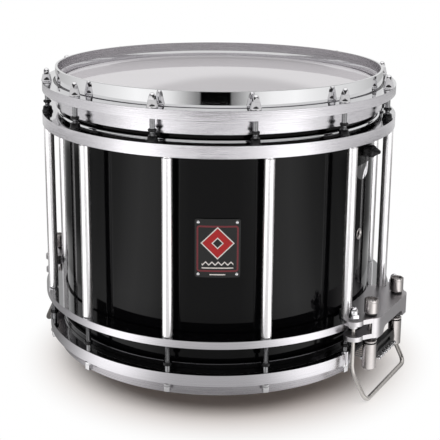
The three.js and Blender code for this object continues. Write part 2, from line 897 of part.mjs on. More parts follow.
const finishes = {
  shellBlack: { color: 0x0b0b0c, roughness: 0.12, metalness: 0 },
  film: { color: 0xd6d7d9, roughness: 0.35, metalness: 0 },
  castAluminium: { color: 0xc9c9cc, roughness: 0.34, metalness: 1 },
  polishedTube: { color: 0xe4e4e6, roughness: 0.12, metalness: 1 },
  rodSteel: { color: 0xc4c3c4, roughness: 0.22, metalness: 1 },
  satinCasting: { color: 0xa9a6a8, roughness: 0.42, metalness: 1 },
  satinKnob: { color: 0xbdb7b4, roughness: 0.36, metalness: 1 },
  wire: { color: 0xd9d2cc, roughness: 0.25, metalness: 1 },
  blackPlastic: { color: 0x101011, roughness: 0.3, metalness: 0 },
  badgeBlack: { color: 0x15100f, roughness: 0.25, metalness: 0.2 },
  chrome: { color: 0xdcdcde, roughness: 0.08, metalness: 1 },
};

const materials = Object.fromEntries(
  Object.entries(finishes).map(([name, values]) => [name, new THREE.MeshStandardMaterial(values)]),
);

const drum = new THREE.Group();
drum.name = "marching_snare_drum";

function place(name, body, finish, parent = drum) {
  const mesh = new THREE.Mesh(body.isBufferGeometry ? body : geometryOf(body), materials[finish]);
  mesh.name = name;
  parent.add(mesh);
  return mesh;
}

// Twelve copies of a piece on the rod circle, one node each
function placeRound(stem, body, finish, lead) {
  const geometry = geometryOf(body);
  for (let k = 0; k < rodCount; k += 1) {
    const angle = lead + k * turn / rodCount;
    const number = String(k + 1).padStart(2, "0");
    const mesh = place(`${stem}_${number}`, geometry, finish);
    mesh.position.set(rodCircle * Math.cos(angle), rodCircle * Math.sin(angle), 0);
    mesh.rotation.z = angle;
  }
}

// The same fitting on the +X side and, turned half round, on the -X side
function placeSides(stem, body, finish) {
  const geometry = geometryOf(body);
  place(`${stem}_right`, geometry, finish);
  place(`${stem}_left`, geometry, finish).rotation.z = turn / 2;
}

place("shell", makeShell(), "shellBlack");
place("batter_head", makeHead(shellTop, 1), "film");
place("snare_head", makeHead(shellBase, -1), "film");
place("batter_hoop", makeBatterHoop(), "castAluminium");
place("snare_hoop", makeSnareHoop(), "castAluminium");
place("top_ring", makeTopRing(), "castAluminium");
place("bottom_ring", makeBottomRing(), "castAluminium");
placeRound("post", makePost(), "polishedTube", postLead);
placeRound("top_rod", makeTopRod(), "rodSteel", topRodLead);
placeRound("low_rod", makeLowRod(), "rodSteel", postLead);
placeSides("snare_bracket", makeBracket(), "satinCasting");
placeSides("snare_bridge", makeSnareBridge(), "blackPlastic");
placeSides("bail", makeBail(), "wire");

const heightKnob = geometryOf(makeHeightKnob());
for (const [side, across] of [["right", 1], ["left", -1]]) {
  for (const [end, along] of [["front", -1], ["rear", 1]]) {
    const knob = place(`height_knob_${side}_${end}`, heightKnob, "satinKnob");
    knob.position.set(screwX * across, screwY * along, 0);
  }
}

place("snare_strands", makeSnareStrands(), "chrome");
place("badge", makeBadge(), "badgeBlack");
place("vent_grommet", makeVent(), "chrome");
place("upper_snare_housing", makeUpperHousing(), "chrome");
place("upper_snare_knob", makeUpperKnob(), "blackPlastic");
place("upper_snare_strands", makeUpperStrands(), "chrome");
place("upper_snare_rest", spun(makeGuide(), turn / 2), "satinCasting");

export default drum;
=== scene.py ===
from math import asin, cos, pi, radians, sin, sqrt

import bpy
from mathutils import Matrix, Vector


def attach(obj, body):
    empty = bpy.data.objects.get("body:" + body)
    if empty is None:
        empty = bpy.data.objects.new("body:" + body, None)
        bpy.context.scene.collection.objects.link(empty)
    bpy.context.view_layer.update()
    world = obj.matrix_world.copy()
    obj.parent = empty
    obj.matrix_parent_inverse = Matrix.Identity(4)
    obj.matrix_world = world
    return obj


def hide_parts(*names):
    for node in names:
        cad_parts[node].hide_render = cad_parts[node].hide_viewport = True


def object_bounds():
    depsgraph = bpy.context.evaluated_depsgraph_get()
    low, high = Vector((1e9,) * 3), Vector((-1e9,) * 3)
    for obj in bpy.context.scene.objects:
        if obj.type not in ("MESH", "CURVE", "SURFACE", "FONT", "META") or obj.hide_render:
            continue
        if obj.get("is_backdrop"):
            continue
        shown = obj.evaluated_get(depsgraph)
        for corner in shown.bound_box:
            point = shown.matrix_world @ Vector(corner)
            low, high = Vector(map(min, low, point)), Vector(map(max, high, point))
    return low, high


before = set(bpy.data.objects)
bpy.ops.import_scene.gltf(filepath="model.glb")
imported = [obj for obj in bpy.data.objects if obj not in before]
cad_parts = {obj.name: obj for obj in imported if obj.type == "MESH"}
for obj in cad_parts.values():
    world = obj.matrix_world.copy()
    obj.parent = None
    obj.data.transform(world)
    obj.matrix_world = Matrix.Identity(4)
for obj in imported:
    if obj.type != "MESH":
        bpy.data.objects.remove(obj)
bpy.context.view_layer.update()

# The camera stands before the drum, turned a third of the way to its right-hand bracket, a little
# above the batter hoop. Its frame is dropped by a small shift.
camera_place = (0.58165, -1.00525, 0.5138)
camera_turn = radians(29.97)
camera_pitch = radians(13.58)
camera_roll = radians(0.50)
camera_lens = 84.24
camera_sensor = 36
camera_shift = -0.15
camera_data = bpy.data.cameras.new("photo_camera")
camera_data.lens = camera_lens
camera_data.sensor_width = camera_sensor
camera_data.shift_y = camera_shift
camera = bpy.data.objects.new("photo_camera", camera_data)
bpy.context.scene.collection.objects.link(camera)
camera.matrix_world = (
    Matrix.Translation(camera_place)
    @ Matrix.Rotation(camera_turn, 4, "Z")
    @ Matrix.Rotation(pi / 2 - camera_pitch, 4, "X")
    @ Matrix.Rotation(camera_roll, 4, "Z")
)
bpy.context.scene.camera = camera
bpy.context.scene.view_settings.view_transform = "Standard"

# The studio: pale walls as high as the drum's own tilt shows them, a dark room over them in front
# and a grey one behind, and a wide soft box above. The camera itself sees only white.
camera_side = radians(-62)
backdrop_tone = 0.95
backdrop_top = 0.29
backdrop_softness = 0.004
front_tone = 0.04
rear_tone = 0.42
rear_top = 0.161
rear_middle = radians(-60.8)
rear_bulge = 1.8
rear_start = 0.1
rear_end = 0.45
ceiling_start = 0.5
ceiling_end = 0.75
ceiling_tone = 1.6
white_tone = 1.25


def linked(tree, source, target):
    """Feeds a socket from another socket, or sets it to a plain value."""
    if isinstance(source, bpy.types.NodeSocket):
        tree.links.new(source, target)
    else:
        target.default_value = source


def maths(tree, operation, *values):
    """Adds a Math node, fed with sockets or plain numbers, and gives its output."""
    node = tree.nodes.new("ShaderNodeMath")
    node.operation = operation
    for value, socket in zip(values, node.inputs):
        linked(tree, value, socket)
    return node.outputs[0]


def measured(tree, operation, vector, other=(0, 0, 0)):
    """A length, a distance or a dot product."""
    node = tree.nodes.new("ShaderNodeVectorMath")
    node.operation = operation
    linked(tree, vector, node.inputs[0])
    linked(tree, other, node.inputs[1])
    return node.outputs["Value"]


def split_axes(tree, vector):
    """The three numbers of a vector."""
    node = tree.nodes.new("ShaderNodeSeparateXYZ")
    linked(tree, vector, node.inputs[0])
    return node.outputs


def stepped(tree, value, low, high):
    """Rises smoothly from 0 to 1 as the value goes from low to high."""
    node = tree.nodes.new("ShaderNodeMapRange")
    node.interpolation_type = "SMOOTHSTEP"
    linked(tree, value, node.inputs["Value"])
    node.inputs["From Min"].default_value = low
    node.inputs["From Max"].default_value = high
    return node.outputs["Result"]


def blended(tree, mask, first, second):
    """Goes from one tone to another by a mask, each a socket or a plain number."""
    node = tree.nodes.new("ShaderNodeMix")
    node.data_type = "FLOAT"
    for value, socket in zip((mask, first, second), (node.inputs[0], *node.inputs[2:4])):
        linked(tree, value, socket)
    return node.outputs[0]


world = bpy.data.worlds.new("studio")
bpy.context.scene.world = world
world.use_nodes = True
tree = world.node_tree
tree.nodes.clear()
direction = tree.nodes.new("ShaderNodeTexCoord").outputs["Generated"]
height = split_axes(tree, direction)[2]
rearward = measured(tree, "DOT_PRODUCT", direction, (-cos(camera_side), -sin(camera_side), 0))
sideways = measured(tree, "DOT_PRODUCT", direction, (-sin(rear_middle), cos(rear_middle), 0))
aside = maths(tree, "MULTIPLY", sideways, sideways)
rear_edge = maths(tree, "ADD", rear_top, maths(tree, "MULTIPLY", aside, rear_bulge))
behind = stepped(tree, rearward, rear_start, rear_end)
edge = blended(tree, behind, backdrop_top, rear_edge)
over_edge = maths(tree, "SUBTRACT", height, edge)
over_walls = stepped(tree, over_edge, -backdrop_softness, backdrop_softness)
upper_walls = blended(tree, behind, front_tone, rear_tone)
low_room = blended(tree, over_walls, backdrop_tone, upper_walls)
ceiling = stepped(tree, height, ceiling_start, ceiling_end)
lit = blended(tree, ceiling, low_room, ceiling_tone)
seen = tree.nodes.new("ShaderNodeLightPath").outputs["Is Camera Ray"]
tone = maths(tree, "MAXIMUM", lit, maths(tree, "MULTIPLY", seen, white_tone))
background = tree.nodes.new("ShaderNodeBackground")
linked(tree, tone, background.inputs["Strength"])
linked(tree, background.outputs[0], tree.nodes.new("ShaderNodeOutputWorld").inputs[0])

# The floor is a pale paper sweep. It keeps the drum's soft shadow near the drum, and farther off
# the camera sees it fade into white. Metal sees the studio's lights on it: two soft boxes left and
# right of the camera, a black card between them, farther off, and a black flag at each side.
card_half_width = 9.4
card_start = 1.72
card_softness = 0.12
far_tones = [
    (0, 0.001), (card_half_width, 0.001), (card_half_width + 0.5, 0.2), (13, 0.3), (18, 0.48),
    (28, 0.86), (36, 1.0), (52, 1.08), (66, 0.94), (80, 0.84), (100, 0.77), (120, 0.62),
    (150, 0.48), (180, 0.46),
]
near_tones = [
    (0, 0.76), (15, 0.78), (23, 1.0), (31, 1.5), (39, 2.0), (50, 2.1), (58, 1.65), (66, 1.05),
    (76, 0.68), (86, 0.45), (100, 0.42), (120, 0.45), (150, 0.7), (180, 0.8),
]
middle_tones = [
    (0, 2.1), (15, 2.1), (23, 2.05), (31, 2.1), (39, 2.3), (50, 2.3), (58, 2.0), (66, 1.6),
    (76, 1.35), (86, 1.25), (100, 1.15), (120, 0.9), (150, 0.8), (180, 0.8),
]
middle_start = 1.3
light_softness = 0.1
flag_angle = 96
flag_angle_softness = 8
flag_end = 150
flag_end_softness = 15
flag_start = 0.55
flag_reach = 1.2
flag_tone = 0.28
# As metal sees it, the floor's glow is dimmed toward and under the drum: a painted shadow of the
# drum.
painted_floor_shadow = [(0, 0.06), (0.17, 0.06), (0.2, 0.4), (0.25, 0.62), (0.275, 0.78), (0.37, 0.8), (0.46, 1)]
brightest = 2.5
floor_size = 30
floor_colour = (0.93, 0.82, 0.76, 1)
shadow_start = 0.150
shadow_end = 0.25
shadow_shift = (0.016, -0.005, 0)


def named(piece, name):
    """Names an object and its mesh."""
    piece.name = name
    piece.data.name = name
    return piece


def fresh(add, name, **place):
    """Adds a primitive with nothing else selected, under the piece's name."""
    bpy.ops.object.select_all(action="DESELECT")
    add(**place)
    return named(bpy.context.active_object, name)


def toned(tree, share, tones, span=180):
    """A ramp of tones over a share of the span; by default degrees from the camera's side."""
    ramp = tree.nodes.new("ShaderNodeValToRGB")
    linked(tree, share, ramp.inputs[0])
    marks = ramp.color_ramp.elements
    marks.remove(marks[1])
    for number, (at, tone) in enumerate(tones):
        mark = marks[0] if number == 0 else marks.new(at / span)
        mark.position = at / span
        mark.color = (tone / brightest, tone / brightest, tone / brightest, 1)
    return maths(tree, "MULTIPLY", ramp.outputs[0], brightest)


floor = fresh(bpy.ops.mesh.primitive_plane_add, "paper_sweep", size=floor_size)
floor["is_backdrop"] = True
paper = bpy.data.materials.new("pale_paper")
paper.use_nodes = True
tree = paper.node_tree
tree.nodes.clear()
ground = tree.nodes.new("ShaderNodeTexCoord").outputs["Object"]
reach = measured(tree, "LENGTH", ground)
faded = stepped(tree, measured(tree, "DISTANCE", ground, shadow_shift), shadow_start, shadow_end)
rays = tree.nodes.new("ShaderNodeLightPath").outputs
mirrored = maths(tree, "MAXIMUM", rays["Is Glossy Ray"], rays["Is Transmission Ray"])
direct = maths(tree, "MAXIMUM", mirrored, maths(tree, "MULTIPLY", rays["Is Camera Ray"], faded))
turned_room = tree.nodes.new("ShaderNodeVectorRotate")
turned_room.rotation_type = "Z_AXIS"
turned_room.inputs["Angle"].default_value = -camera_side
linked(tree, ground, turned_room.inputs["Vector"])
room_axes = split_axes(tree, turned_room.outputs[0])
round_room = maths(tree, "ABSOLUTE", maths(tree, "ARCTAN2", room_axes[1], room_axes[0]))
half_turns = maths(tree, "DIVIDE", round_room, pi)
near, middle, far = (
    toned(tree, half_turns, tones) for tones in (near_tones, middle_tones, far_tones)
)
at_middle = stepped(tree, reach, middle_start, middle_start + light_softness)
at_card = stepped(tree, reach, card_start, card_start + card_softness)
lights = blended(tree, at_card, blended(tree, at_middle, near, middle), far)
first_side = (flag_angle - flag_angle_softness) / 180, (flag_angle + flag_angle_softness) / 180
last_side = (flag_end + flag_end_softness) / 180, (flag_end - flag_end_softness) / 180
beside = maths(
    tree, "MULTIPLY", stepped(tree, half_turns, *first_side), stepped(tree, half_turns, *last_side)
)
inside_flag = maths(
    tree,
    "MULTIPLY",
    stepped(tree, reach, flag_start - light_softness, flag_start + light_softness),
    stepped(tree, reach, flag_reach + light_softness, flag_reach - light_softness),
)
flagged = blended(tree, maths(tree, "MULTIPLY", beside, inside_flag), 1, flag_tone)
# The painted shadow of the drum and the flags darken the glow that metal sees.
dimmed = maths(tree, "MULTIPLY", toned(tree, reach, painted_floor_shadow, 1), flagged)
shown = blended(tree, rays["Is Camera Ray"], maths(tree, "MULTIPLY", lights, dimmed), 1)
matt = tree.nodes.new("ShaderNodeBsdfDiffuse")
matt.inputs["Color"].default_value = floor_colour
glow = tree.nodes.new("ShaderNodeEmission")
linked(tree, shown, glow.inputs["Strength"])
sweep = tree.nodes.new("ShaderNodeMixShader")
for source, socket in zip((direct, matt.outputs[0], glow.outputs[0]), sweep.inputs):
    linked(tree, source, socket)
linked(tree, sweep.outputs[0], tree.nodes.new("ShaderNodeOutputMaterial").inputs[0])
floor.data.materials.append(paper)

# The shell is a tube of six-millimetre birch ply under black gloss lacquer, turned to a bearing
# edge at each end. It is drilled for the vent and for the neck of the upper snare unit.
mm = 0.001
shell_radius = 177
shell_wall = 6
shell_base = 36.9
shell_top = 322.6
bearing_slope = 5
bearing_round = 1.2
vent_level = shell_base + 129.6
vent_hole = 4.7
upper_knob_level = shell_top - 61.9
neck_hole = 5.9
hole_start = shell_radius - 12
hole_end = shell_radius + 3
ring_steps = 240
seam = 0.002


def picked(piece):
    """Makes this the only selected object, and the active one."""
    bpy.ops.object.select_all(action="DESELECT")
    piece.select_set(True)
    bpy.context.view_layer.objects.active = piece
    return piece


def smoothed(piece, angle):
    """Shades a piece smooth but for edges that turn by more than the angle, in degrees."""
    picked(piece)
    bpy.ops.object.shade_smooth_by_angle(angle=radians(angle))
    return piece


def drawn_line(name, points):
    """A wire through (x, y, z) points in millimetres, drawn vertex by vertex, left in edit mode."""
    piece = fresh(bpy.ops.mesh.primitive_plane_add, name, size=mm)
    bpy.ops.object.mode_set(mode="EDIT")
    bpy.ops.mesh.merge(type="CENTER")
    bpy.ops.transform.translate(value=[c * mm for c in points[0]])
    for here, there in zip(points, points[1:]):
        step = [(b - a) * mm for a, b in zip(here, there)]
        bpy.ops.mesh.extrude_region_move(TRANSFORM_OT_translate={"value": step})
    bpy.ops.mesh.select_all(action="SELECT")
    return piece


def closed():
    """In edit mode: closes the seams, turns all faces outwards and goes back to object mode."""
    bpy.ops.mesh.select_all(action="SELECT")
    bpy.ops.mesh.remove_doubles(threshold=seam * mm)
    bpy.ops.mesh.normals_make_consistent(inside=False)
    bpy.ops.object.mode_set(mode="OBJECT")


def turned(name, profile, steps=ring_steps):
    """Spins a profile of (radius, height) round Z. It starts and ends on the axis, or closes."""
    loop = list(profile)
    if profile[0][0] > 0 or profile[-1][0] > 0:
        loop.append(profile[0])
    piece = drawn_line(name, [(r, 0, z) for r, z in loop])
    bpy.ops.mesh.spin(steps=steps, angle=2 * pi, center=(0, 0, 0), axis=(0, 0, 1))
    closed()
    return piece


def modified(piece, kind, **values):
    """Adds a modifier, sets it and applies it."""
    picked(piece)
    bpy.ops.object.modifier_add(type=kind)
    modifier = piece.modifiers[-1]
    for name, value in values.items():
        setattr(modifier, name, value)
    bpy.ops.object.modifier_apply(modifier=modifier.name)
    return piece


def combined(piece, tool, operation):
    """Joins a solid to the piece or cuts it away, and removes the tool."""
    modified(piece, "BOOLEAN", object=tool, operation=operation, solver="EXACT")
    bpy.data.objects.remove(tool)
    return piece


def set_down(piece, x=0, y=0, z=0, about_x=0, about_y=0, about_z=0):
    """Turns and places a piece, in millimetres and radians, and applies it to the mesh."""
    picked(piece)
    piece.rotation_euler = (about_x, about_y, about_z)
    piece.location = (x * mm, y * mm, z * mm)
    bpy.ops.object.transform_apply(location=True, rotation=True, scale=True)
    return piece


def round_bar(name, radius, length, steps):
    """A plain round bar along Z, centred on the origin."""
    add = bpy.ops.mesh.primitive_cylinder_add
    return fresh(add, name, vertices=steps, radius=radius * mm, depth=length * mm)


def bar_along_x(name, radius, start, end, level, steps=32):
    """A round bar along X, over the axis of the drum."""
    bar = round_bar(name, radius, end - start, steps)
    return set_down(bar, (start + end) / 2, 0, level, about_y=pi / 2)


def new_look(name, colour, metallic, roughness, ior=1.5):
    """A Principled material. Gives it, its tree, its shader and its Object coordinates."""
    look = bpy.data.materials.new(name)
    look.use_nodes = True
    nodes = look.node_tree
    shader = nodes.nodes["Principled BSDF"]
    shader.inputs["Base Color"].default_value = (*colour, 1)
    shader.inputs["Metallic"].default_value = metallic
    shader.inputs["Roughness"].default_value = roughness
    shader.inputs["IOR"].default_value = ior
    place = nodes.nodes.new("ShaderNodeTexCoord").outputs["Object"]
    return look, nodes, shader, place


def mapped(tree, place, **values):
    """Turns or stretches a pattern's coordinates."""
    node = tree.nodes.new("ShaderNodeMapping")
    linked(tree, place, node.inputs["Vector"])
    for name, value in values.items():
        node.inputs[name.capitalize()].default_value = value
    return node.outputs[0]


def noise(tree, place, scale, detail=3, roughness=0.5):
    """A Noise texture's value at this many waves a metre."""
    node = tree.nodes.new("ShaderNodeTexNoise")
    linked(tree, place, node.inputs["Vector"])
    node.inputs["Scale"].default_value = scale
    node.inputs["Detail"].default_value = detail
    node.inputs["Roughness"].default_value = roughness
    return node.outputs[0]


def ranged(tree, value, low, high, start=0.3, end=0.7):
    """Maps a noise to a range of roughness or tone."""
    node = tree.nodes.new("ShaderNodeMapRange")
    linked(tree, value, node.inputs["Value"])
    limits = {"From Min": start, "From Max": end, "To Min": low, "To Max": high}
    for name, limit in limits.items():
        node.inputs[name].default_value = limit
    return node.outputs["Result"]


def roughened(tree, shader, value, low, high, *span):
    """Lets a noise set the roughness, from low to high."""
    linked(tree, ranged(tree, value, low, high, *span), shader.inputs["Roughness"])


def bumped(tree, shader, heights, distance):
    """Feeds a height, in this many metres, to the shader's normal through a Bump node."""
    node = tree.nodes.new("ShaderNodeBump")
    node.inputs["Distance"].default_value = distance
    linked(tree, heights, node.inputs["Height"])
    linked(tree, node.outputs[0], shader.inputs["Normal"])


def mixed(tree, mask, first, second):
    """Goes from one colour to another by a mask, each a socket or (red, green, blue)."""
    node = tree.nodes.new("ShaderNodeMix")
    node.data_type = "RGBA"
    linked(tree, mask, node.inputs[0])
    for colour, socket in zip((first, second), node.inputs[6:8]):
        linked(tree, (*colour, 1) if isinstance(colour, tuple) else colour, socket)
    return node.outputs[2]


def tinted(tree, shader, value, first, second):
    """Lets a noise set the base colour, from one colour to another."""
    mask = ranged(tree, value, 0, 1)
    linked(tree, mixed(tree, mask, first, second), shader.inputs["Base Color"])


def dressed(piece, look, *others):
    """Gives a piece its material, and further ones for slots that are set by place."""
    piece.data.materials.clear()
    for each in (look, *others):
        piece.data.materials.append(each)
    return piece


def repainted(piece, slot, wanted):
    """Sets another material slot on the faces whose radius, height and normal fit."""
    for face in piece.data.polygons:
        x, y, z = (c / mm for c in face.center)
        if wanted(sqrt(x * x + y * y), z, face.normal):
            face.material_index = slot


def fitted(piece, body, slot, *nodes):
    """Sets a finished piece on its body, in place of its CAD nodes. The slot is not used."""
    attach(piece, body)
    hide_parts(*nodes)
    return piece


gloss_black = (0.002, 0.002, 0.0025)
lacquer, tree, shader, place = new_look("black_gloss_lacquer", gloss_black, 0, 0.045, 1.24)
roughened(tree, shader, noise(tree, place, 14, 4), 0.03, 0.07)
bumped(tree, shader, noise(tree, place, 60, 1), 0.00002)

birch, tree, shader, place = new_look("birch_ply", (0.42, 0.29, 0.16), 0, 0.55)
figure = noise(tree, mapped(tree, place, scale=(1, 1, 14)), 40, 5)
tinted(tree, shader, figure, (0.50, 0.36, 0.21), (0.36, 0.24, 0.13))
bumped(tree, shader, figure, 0.0001)

shell_profile = [
    (shell_radius - shell_wall, shell_base + bearing_slope),
    (shell_radius - bearing_round, shell_base),
    (shell_radius, shell_base + bearing_round),
    (shell_radius, shell_top - bearing_round),
    (shell_radius - bearing_round, shell_top),
    (shell_radius - shell_wall, shell_top - bearing_slope),
]
shell = turned("shell_tube", shell_profile)
for radius, level in ((vent_hole, vent_level), (neck_hole, upper_knob_level)):
    combined(shell, bar_along_x("hole", radius, hole_start, hole_end, level), "DIFFERENCE")
dressed(smoothed(shell, 30), lacquer, birch)
repainted(shell, 1, lambda radius, z, normal: radius < shell_radius - 0.7)
fitted(shell, "root", "shell_gloss", "shell")

# Each head is a film of polyester, heat-formed to a collar that runs over the shell's edge and is
# crimped in a black anodised flesh hoop, whose rounded edge is grey metal: a painted highlight
# along that edge. The batter film is frosted white, the snare film hazy.
film_gap = 0.3
film_top = 0.9
film_flat = 174.5
collar_radius = 178.1
flesh_inner = 178.4
flesh_outer = 182
flesh_depth = 8.6
flesh_height = 9
flesh_round = 0.6
flesh_far = -flesh_depth - flesh_height
head_profile = [
    (0, film_gap),
    (120, film_gap),
    (film_flat, film_gap),
    (film_flat + 2.8, film_gap - 0.5),
    (flesh_inner, -flesh_depth + 1.5),
    (flesh_inner, flesh_far),
    (flesh_outer - flesh_round, flesh_far),
    (flesh_outer, flesh_far + flesh_round),
    (flesh_outer, -flesh_depth),
    (flesh_inner + 1.2, -flesh_depth),
    (flesh_inner + 0.4, -flesh_depth + 2),
    (collar_radius + 0.1, -0.8),
    (collar_radius - 0.4, 0.35),
    (collar_radius - 1.5, 0.8),
    (film_flat, film_top),
    (150, film_top),
    (60, film_top),
    (0, film_top),
]
frosted, tree, shader, place = new_look("frosted_film", (0.71, 0.685, 0.71), 0, 0.04)
clouds = noise(tree, place, 9, 5)
tinted(tree, shader, clouds, (0.74, 0.71, 0.735), (0.72, 0.69, 0.715))
roughened(tree, shader, clouds, 0.02, 0.03)

hazy, tree, shader, place = new_look("hazy_film", (0.86, 0.86, 0.86), 0, 0.2)
shader.inputs["Transmission Weight"].default_value = 0.55
roughened(tree, shader, noise(tree, place, 11, 4), 0.14, 0.3)
bumped(tree, shader, noise(tree, place, 700, 2), 0.00001)

# Black anodised for the flesh hoops; in the batter hoop's groove at the rim's foot it is painted
# shade.
crimped, tree, shader, place = new_look("black_anodised_and_groove_shade", (0.012, 0.012, 0.013), 0.8, 0.22)
roughened(tree, shader, noise(tree, place, 200, 3), 0.2, 0.24)
# Grey metal for the rounded outer edge of each flesh hoop: a painted highlight along that edge.
painted_highlight, tree, shader, place = new_look("painted_highlight_edge", (0.13, 0.13, 0.135), 1, 0.25)
roughened(tree, shader, noise(tree, place, 90, 3), 0.2, 0.4)

for name, edge, side, film in (
    ("batter_film", shell_top, 1, frosted),
    ("snare_film", shell_base, -1, hazy),
):
    head = turned(name, [(radius, edge + side * height) for radius, height in head_profile])
    dressed(smoothed(head, 35), film, crimped, painted_highlight)
    crimp = edge - side * (flesh_depth - 1)
    rim = edge + side * (flesh_far + flesh_round)
    # Slot 1 is the black flesh hoop, slot 2 the painted highlight on its rounded edge.
    for slot, start, level in ((1, flesh_inner - 0.1, crimp), (2, flesh_outer - flesh_round, rim)):
        repainted(head, slot, lambda radius, z, normal: radius > start and (level - z) * side > 0)
    fitted(head, "root", "head_film", name.replace("film", "head"))

# The batter hoop is a thick aluminium casting, turned on a lathe: an upright polished rim, a flange
# drilled for twelve rods, a lip that bears on the flesh hoop and a skirt below. Lathe lines show;
# the groove round the foot of the rim is painted black, and the inside of the rim a darker satin,
# both as painted shade.
batter_flange_base = 313.0
batter_flange_top = 323.2
batter_flange_outer = 199.3
batter_rim_top = 339.3
batter_rim_inner = 181.6
batter_rim_outer = 184.5
groove_outer = 187
groove_floor = batter_flange_top - 1.3
ledge_top = 328.8
ledge_base = 326.2
lip_base = 314.3
lip_inner = 180.2
hoop_inner = 182.4
skirt_base = 296.7
skirt_outer = 184.8
rod_circle = 194
rod_count = 12
top_rod_lead = radians(10.6)
rod_hole = 3.2
overrun = 3
batter_profile = [
    (lip_inner, lip_base),
    (hoop_inner, lip_base),
    (hoop_inner, skirt_base),
    (skirt_outer, skirt_base),
    (skirt_outer, batter_flange_base),
    (batter_flange_outer, batter_flange_base),
    (batter_flange_outer, batter_flange_top),
    (groove_outer, batter_flange_top),
    (groove_outer, groove_floor),
    (batter_rim_outer, groove_floor),
    (batter_rim_outer, batter_rim_top),
    (batter_rim_inner, batter_rim_top),
    (batter_rim_inner, ledge_top),
    (lip_inner, ledge_base),
]

lathe_lines = bpy.data.node_groups.new("lathe_lines", "ShaderNodeTree")
for label, kind in (
    ("Place", "NodeSocketVector"),
    ("Length", "NodeSocketFloat"),
    ("Fineness", "NodeSocketFloat"),
):
    lathe_lines.interface.new_socket(label, in_out="INPUT", socket_type=kind)
lathe_lines.interface.new_socket("Lines", in_out="OUTPUT", socket_type="NodeSocketFloat")
given = lathe_lines.nodes.new("NodeGroupInput").outputs
made = lathe_lines.nodes.new("NodeGroupOutput").inputs
axes = split_axes(lathe_lines, given["Place"])
squares = [maths(lathe_lines, "MULTIPLY", axis, axis) for axis in axes[:2]]
radius = maths(lathe_lines, "SQRT", maths(lathe_lines, "ADD", *squares))
outward = maths(lathe_lines, "ADD", radius, axes[2])
across = maths(lathe_lines, "MULTIPLY", outward, given["Fineness"])
lathe_axes = lathe_lines.nodes.new("ShaderNodeCombineXYZ")
for axis, socket in zip(axes[:2], lathe_axes.inputs):
    share = maths(lathe_lines, "DIVIDE", axis, radius)
    linked(lathe_lines, maths(lathe_lines, "MULTIPLY", share, given["Length"]), socket)
linked(lathe_lines, across, lathe_axes.inputs[2])
linked(lathe_lines, noise(lathe_lines, lathe_axes.outputs[0], 1, 4, 0.6), made["Lines"])


def lathe_look(name, first, second, length, fineness, low, high, depth):
    """A turned metal, whose tone, gloss and fine grooves follow the lathe lines."""
    look, tree, shader, place = new_look(name, first, 1, high)
    group = tree.nodes.new("ShaderNodeGroup")
    group.node_tree = lathe_lines
    for value, socket in zip((place, length, fineness), group.inputs):
        linked(tree, value, socket)
    lines = group.outputs["Lines"]
    if second:
        tinted(tree, shader, lines, first, second)
    roughened(tree, shader, lines, low, high)
    bumped(tree, shader, lines, depth)
    return look


def eased(piece, width, segments=2, angle=32):
    """Rounds the edges that turn by more than the angle, and keeps the faces between them flat."""
    modified(
        piece,
        "BEVEL",
        width=width * mm,
        segments=segments,
        limit_method="ANGLE",
        angle_limit=radians(angle),
    )
    smoothed(piece, angle)
    return modified(piece, "WEIGHTED_NORMAL", keep_sharp=True, weight=90)


def joined(pieces, name):
    """Joins finished pieces, with their materials, into one."""
    picked(pieces[0])
    for each in pieces:
        each.select_set(True)
    bpy.ops.object.join()
    return named(bpy.context.active_object, name)


def bar_along_z(name, radius, x, y, base, top, steps=40):
    """An upright round bar."""
    return set_down(round_bar(name, radius, top - base, steps), x, y, (base + top) / 2)


def rod_angles(lead):
    """The twelve angles round the drum, from the first one's."""
    return [lead + k * 2 * pi / rod_count for k in range(rod_count)]


def drilled(piece, base, top, lead):
    """Cuts the twelve rod holes."""
    drills = []
    for angle in rod_angles(lead):
        x, y = rod_circle * cos(angle), rod_circle * sin(angle)
        drills.append(bar_along_z("drill", rod_hole, x, y, base - overrun, top + overrun, 24))
    return combined(piece, joined(drills, "drills"), "DIFFERENCE")


satin = lathe_look(
    "lathe_satin", (0.58, 0.565, 0.59), (0.64, 0.625, 0.65), 4, 1500, 0.15, 0.23, 0.00007
)
bright = lathe_look("lathe_bright", (0.86, 0.86, 0.87), None, 3, 1100, 0.02, 0.05, 0.000006)
# A rougher copy of the satin look, darker in colour: painted shade for faces turned from the light.
shaded_satin = lathe_look(
    "lathe_shaded_satin", (0.385, 0.37, 0.39), (0.51, 0.49, 0.51), 4, 1500, 0.22, 0.32, 0.00004
)
batter_hoop = turned("batter_hoop_casting", batter_profile)
drilled(batter_hoop, batter_flange_base, batter_flange_top, top_rod_lead)
dressed(eased(batter_hoop, 0.6), satin, bright, shaded_satin, crimped)
inmost, outmost, uppermost = 170, 210, 350
rim_bore = batter_rim_inner + 0.3
# Slots 2 and 3 are painted shade: the darker satin inside the rim, black in the groove at its foot.
for slot, inner, outer, base, top in (
    (1, rim_bore, outmost, batter_flange_top - 0.1, uppermost),
    (1, inmost, rim_bore, ledge_base + 0.1, ledge_top - 0.1),
    (2, inmost, rim_bore, ledge_top + 0.1, uppermost),
    (3, batter_rim_outer, groove_outer - 0.1, groove_floor - 0.9, batter_flange_top - 0.6),
):
    repainted(
        batter_hoop, slot, lambda radius, z, normal: inner < radius < outer and base < z < top
    )
fitted(batter_hoop, "root", "hoop_cast", "batter_hoop")

